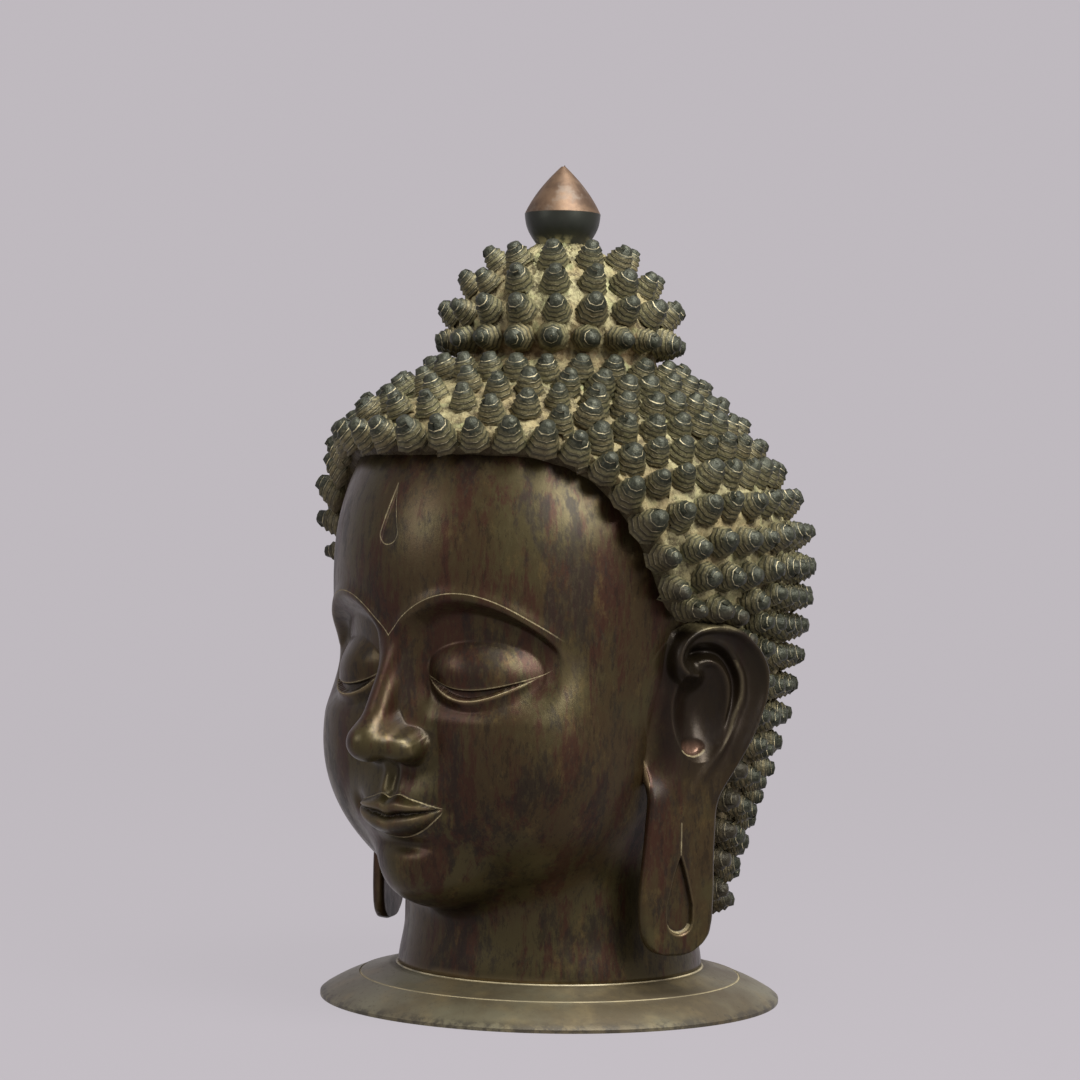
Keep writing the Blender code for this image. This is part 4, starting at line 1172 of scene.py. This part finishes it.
# Painted shade under the hair's overhang, along the hair's lower edge.
edge = 1 - (base.mark("above_edge") + base.noise(45.0, 3.0) * 0.020 - 0.010).between(0.004, 0.020)
colour = (edge * 0.80).mixed(colour, HAIRLINE_SHADE_BROWN)
feed(shader, "Base Color", colour)
feed(shader, "Metallic", 0.15 + edge * 0.2)
feed(shader, "Roughness", 0.68 + pit * 0.12 - edge * 0.1)
shader.inputs["Specular IOR Level"].default_value = 0.25
feed(shader, "Normal", base.bumps(1.0, 0.0034, scratch + base.noise(60.0, 4.0, 0.65)))
ground_mesh.materials.append(ground_metal)
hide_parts("head")
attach(ground, "root")


# Curls: each is a snail shell of wax cord wound to a blunt tip, cast with the head. The
# tips are rubbed dark, and pale dust stays in the grooves between the turns. Shade is
# painted in the crevices beside the grooves and along the hairline.
CURL_HEIGHT = 0.0290
CURL_BODY_RADIUS = 0.0154
CURL_TIP_RADIUS = 0.0080
CURL_FLARE = 0.0040
CURL_TURNS = 4
CURL_SIDES = 8
CURL_SINK = 0.0020
CAP_RISE = 0.0040
GROOVE_PLACE = 0.58
GROOVE_DEPTH = 0.0022
BULLET_POWER = 2.9
CAP_WIDTH = 0.84
CAP_SHOULDER = 0.42
CURL_UPWARD_LEAN = 0.22
CURL_WANDER = 0.045
CURL_BEND = 0.0010


def snail_shell():
    """One curl upright on the origin: a cord wound upwards round a bullet, under a round cap."""
    steps = CURL_TURNS * CURL_SIDES
    verts, turn_mark, rise_mark = [], [], []

    def add(radius, angle, share, groove):
        height = (CURL_HEIGHT - CAP_RISE + CURL_SINK) * share - CURL_SINK
        verts.append((radius * np.cos(angle), radius * np.sin(angle), height))
        turn_mark.append(1.0 if groove else 0.0)
        rise_mark.append(share * (1 - CAP_RISE / CURL_HEIGHT))
        return len(verts) - 1

    def on_bullet(step_number, groove):
        ahead = GROOVE_PLACE * CURL_SIDES
        share = (step_number + (ahead if groove else 0)) / (steps + ahead)
        radius = CURL_BODY_RADIUS - (CURL_BODY_RADIUS - CURL_TIP_RADIUS) * share ** BULLET_POWER
        radius += CURL_FLARE * (1 - share) ** 4
        radius -= GROOVE_DEPTH if groove else 0
        return add(radius, 2 * np.pi * step_number / CURL_SIDES, share, groove)

    ridge = [on_bullet(i, False) for i in range(steps + 1)]
    groove = [on_bullet(i, True) for i in range(steps + 1)]
    faces = []
    for i in range(steps):
        faces.append((ridge[i], ridge[i + 1], groove[i + 1], groove[i]))
        if i + CURL_SIDES + 1 <= steps:
            faces.append((groove[i], groove[i + 1], ridge[i + CURL_SIDES + 1], ridge[i + CURL_SIDES]))
    last = steps - CURL_SIDES
    below_cap = [groove[last + i] for i in range(CURL_SIDES + 1)]
    cap = []
    for i in range(CURL_SIDES):
        cap.append(len(verts))
        angle = 2 * np.pi * (last + i) / CURL_SIDES
        cap_radius = CURL_TIP_RADIUS * CAP_WIDTH
        verts.append((cap_radius * np.cos(angle), cap_radius * np.sin(angle),
                      CURL_HEIGHT - CAP_RISE * CAP_SHOULDER))
        turn_mark.append(-0.6)
        rise_mark.append(0.96)
    top = len(verts)
    verts.append((0, 0, CURL_HEIGHT))
    turn_mark.append(0.98)
    rise_mark.append(1.0)
    for i in range(CURL_SIDES):
        after = cap[(i + 1) % CURL_SIDES]
        faces.append((below_cap[i], below_cap[i + 1], after, cap[i]))
        faces.append((cap[i], after, top))
    faces.append((below_cap[CURL_SIDES], ridge[steps], cap[0]))
    faces.append((ridge[steps], below_cap[0], cap[0]))
    bottom = len(verts)
    verts.append((0, 0, -CURL_SINK))
    turn_mark.append(0.0)
    rise_mark.append(0.0)
    for i in range(CURL_SIDES):
        faces.append((ridge[i + 1], ridge[i], bottom))
    faces.append((ridge[0], ridge[CURL_SIDES], bottom))
    faces.append((ridge[CURL_SIDES], ridge[0], groove[0]))
    return np.array(verts), faces, np.array(turn_mark), np.array(rise_mark)


shell, shell_faces, shell_turn, shell_rise = snail_shell()
lean = hair_normal(curls[:, 0], curls[:, 1]) + np.array((0, 0, CURL_UPWARD_LEAN))
lean = lean + chance.normal(0, CURL_WANDER, lean.shape)
lean = lean / np.linalg.norm(lean, axis=1, keepdims=True)
all_verts, all_faces, all_turn, all_rise, all_tone = [], [], [], [], []
for number, (place, axis, sink) in enumerate(zip(curl_points, lean, curl_sink)):
    guide = np.cross(axis, (0.3, 0.2, 0.9))
    guide = guide / np.linalg.norm(guide)
    other = np.cross(axis, guide)
    spin = chance.uniform(0, 2 * np.pi)
    wide = chance.uniform(0.88, 1.08) * (1 + 9 * sink)
    tall = chance.uniform(0.86, 0.97) + 0.8 * sink / CURL_HEIGHT
    first = np.cos(spin) * guide + np.sin(spin) * other
    second = np.cross(axis, first)
    bend = chance.normal(0, CURL_BEND, 2)
    x = shell[:, 0] * wide + bend[0] * shell_rise
    y = shell[:, 1] * wide + bend[1] * shell_rise
    z = shell[:, 2] * tall
    base_index = number * len(shell)
    all_verts.append(place + x[:, None] * first + y[:, None] * second + z[:, None] * axis)
    all_faces += [tuple(base_index + corner for corner in face) for face in shell_faces]
    all_turn.append(shell_turn)
    all_rise.append(shell_rise)
    all_tone.append(np.full(len(shell), chance.uniform(0, 1)))
curl_verts = np.concatenate(all_verts)
curl_mesh = bpy.data.meshes.new("curls")
curl_mesh.from_pydata(curl_verts.tolist(), [], all_faces)
curl_mesh.update()
paint(curl_mesh, "turn", np.concatenate(all_turn))
paint(curl_mesh, "rise", np.concatenate(all_rise))
paint(curl_mesh, "tone", np.concatenate(all_tone))
above_edge = curl_verts[:, 2] - hairline_height(np.arctan2(curl_verts[:, 0], -curl_verts[:, 1]))
paint(curl_mesh, "above_edge", above_edge)
curl_mesh.shade_smooth()
curl_piece = bpy.data.objects.new("curls", curl_mesh)
bpy.context.scene.collection.objects.link(curl_piece)

TIP_BLACK_AND_SHADE = (0.024, 0.026, 0.016)
TIP_GREY = (0.068, 0.069, 0.045)
CORD_GREEN = (0.172, 0.158, 0.078)
CORD_BROWN = (0.184, 0.148, 0.080)
CORD_LINE = (0.540, 0.465, 0.275)

curl_metal, shader, base = start_material("dark verdigris curls")
bloom, low = verdigris_mix(base)
rise = base.mark("rise")
tone = base.mark("tone")
worn = base.noise(75.0, 5.0, 0.70).between(0.44, 0.60)
speck = base.noise(210.0, 4.0, 0.7).between(0.46, 0.60)
colour = (tone * 0.5 + low * 0.5).mixed(CORD_GREEN, CORD_BROWN)
colour = (worn * 0.50).mixed(colour, bloom)
foot = 1 - (rise + worn * 0.16).between(0.08, 0.36)
colour = (foot * 0.80).mixed(colour, bloom)
tip = (rise + worn * 0.12 - 0.06).between(0.48, 0.74)
colour = tip.mixed(colour, (speck * 0.6).mixed(TIP_BLACK_AND_SHADE, TIP_GREY))
groove = base.mark("turn") + base.noise(120.0, 3.0, 0.6) * 0.36 - 0.18
colour = (speck * (1 - tip) * 0.48).mixed(colour, EARTH_AND_SHADE)
# Painted shade in the crevice beside each groove between the cord's turns.
colour = (groove.between(0.30, 0.72) * 0.82).mixed(colour, TIP_BLACK_AND_SHADE)
line = groove.between(0.84, 0.98)
colour = (line * (0.22 + worn * 0.68)).mixed(colour, CORD_LINE)
# Painted shade under the hair's overhang, on the border curls near the hairline.
edge = 1 - (base.mark("above_edge") + base.noise(45.0, 3.0) * 0.024 - 0.012).between(0.002, 0.018)
colour = (edge * 0.52).mixed(colour, HAIRLINE_SHADE_BROWN)
feed(shader, "Base Color", colour)
feed(shader, "Metallic", 0.34 + tip * 0.12 - line * 0.28 - foot * 0.20 - edge * 0.1)
feed(shader, "Roughness", 0.54 - tip * 0.07 + line * 0.2 + foot * 0.15)
shader.inputs["Specular IOR Level"].default_value = 0.30
feed(shader, "Normal", base.bumps(0.85, 0.0022, base.noise(150.0, 4.0, 0.65) + base.noise(60.0, 3.0) * 0.8))
curl_mesh.materials.append(curl_metal)
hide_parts("head")
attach(curl_piece, "root")


# Finial: a small turned bud fixed on the top-knot, burnished to copper brown above its
# sharp edge and left dark green below it.
FINIAL_TOP = 0.900
FINIAL_FOOT_RADIUS = 0.0270
FINIAL_EDGE_RADIUS = 0.0412
FINIAL_EDGE_HEIGHT = 0.8460
CUP_SWELL = 0.0036
BUD_SWELL = 0.42
COPPER = (0.130, 0.080, 0.046)
COPPER_PALE = (0.165, 0.135, 0.105)
COPPER_DARK = (0.068, 0.040, 0.023)
CUP_BLACK = (0.026, 0.028, 0.021)

finial_foot = TOP_KNOT_HEIGHT + JOINT_GAP
finial_profile = []
for i in range(1, 13):
    fall = 1 - i / 12
    swell = CUP_SWELL * math.sin(math.pi * fall)
    finial_profile.append((FINIAL_EDGE_RADIUS + (FINIAL_FOOT_RADIUS - FINIAL_EDGE_RADIUS) * fall + swell,
                           FINIAL_EDGE_HEIGHT + (finial_foot - FINIAL_EDGE_HEIGHT) * fall))
for i in range(23, 0, -1):
    rise_share = i / 24
    finial_profile.append((FINIAL_EDGE_RADIUS * (rise_share + BUD_SWELL * rise_share * (1 - rise_share)),
                           FINIAL_TOP - (FINIAL_TOP - FINIAL_EDGE_HEIGHT) * rise_share))

bpy.ops.object.select_all(action="DESELECT")
bpy.ops.mesh.primitive_circle_add(vertices=96, radius=FINIAL_FOOT_RADIUS, fill_type="NGON",
                                  location=(0, 0, finial_foot))
finial = bpy.context.object
finial.name = "bud_finial"
bpy.ops.object.mode_set(mode="EDIT")
bpy.ops.mesh.select_all(action="SELECT")
radius, height = FINIAL_FOOT_RADIUS, finial_foot
for next_radius, next_height in finial_profile:
    bpy.ops.mesh.extrude_region_move(TRANSFORM_OT_translate={"value": (0, 0, next_height - height)})
    bpy.ops.transform.resize(value=(next_radius / radius, next_radius / radius, 1))
    radius, height = next_radius, next_height
bpy.ops.mesh.poke()
bpy.ops.mesh.select_all(action="SELECT")
bpy.ops.mesh.normals_make_consistent(inside=False)
bpy.ops.object.mode_set(mode="OBJECT")
bpy.ops.object.transform_apply(location=True, rotation=True, scale=True)
point = max(finial.data.vertices, key=lambda vert: vert.co.z)
point.co.z = FINIAL_TOP
bpy.ops.object.shade_smooth_by_angle(angle=math.radians(28))

finial_metal, shader, base = start_material("burnished copper brown")
height_up = base.along(2)
edge_wave = base.noise(30.0, 3.0) * 0.0016 - 0.0008
upper = (height_up + edge_wave).between(FINIAL_EDGE_HEIGHT - 0.0008, FINIAL_EDGE_HEIGHT + 0.0006)
cloud = base.noise(26.0, 4.0, 0.6).between(0.40, 0.62)
rubbed = base.noise(42.0, 4.0, 0.65).between(0.48, 0.66)
colour = cloud.mixed(COPPER, COPPER_DARK)
colour = (rubbed * 0.6).mixed(colour, COPPER_PALE)
colour = upper.mixed(CUP_BLACK, colour)
foot_dust = 1 - height_up.between(finial_foot + 0.001, finial_foot + 0.010)
colour = (foot_dust * base.noise(90.0, 4.0, 0.6).between(0.4, 0.6)).mixed(colour, BLOOM)
feed(shader, "Base Color", colour)
feed(shader, "Metallic", 0.68 - foot_dust * 0.4)
feed(shader, "Roughness", 0.50 + rubbed * 0.12 - (1 - upper) * 0.12)
feed(shader, "Normal", base.bumps(0.2, 0.0008, base.noise(120.0, 3.0, 0.6)))
finial.data.materials.append(finial_metal)
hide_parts("crown_finial")
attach(finial, "root")
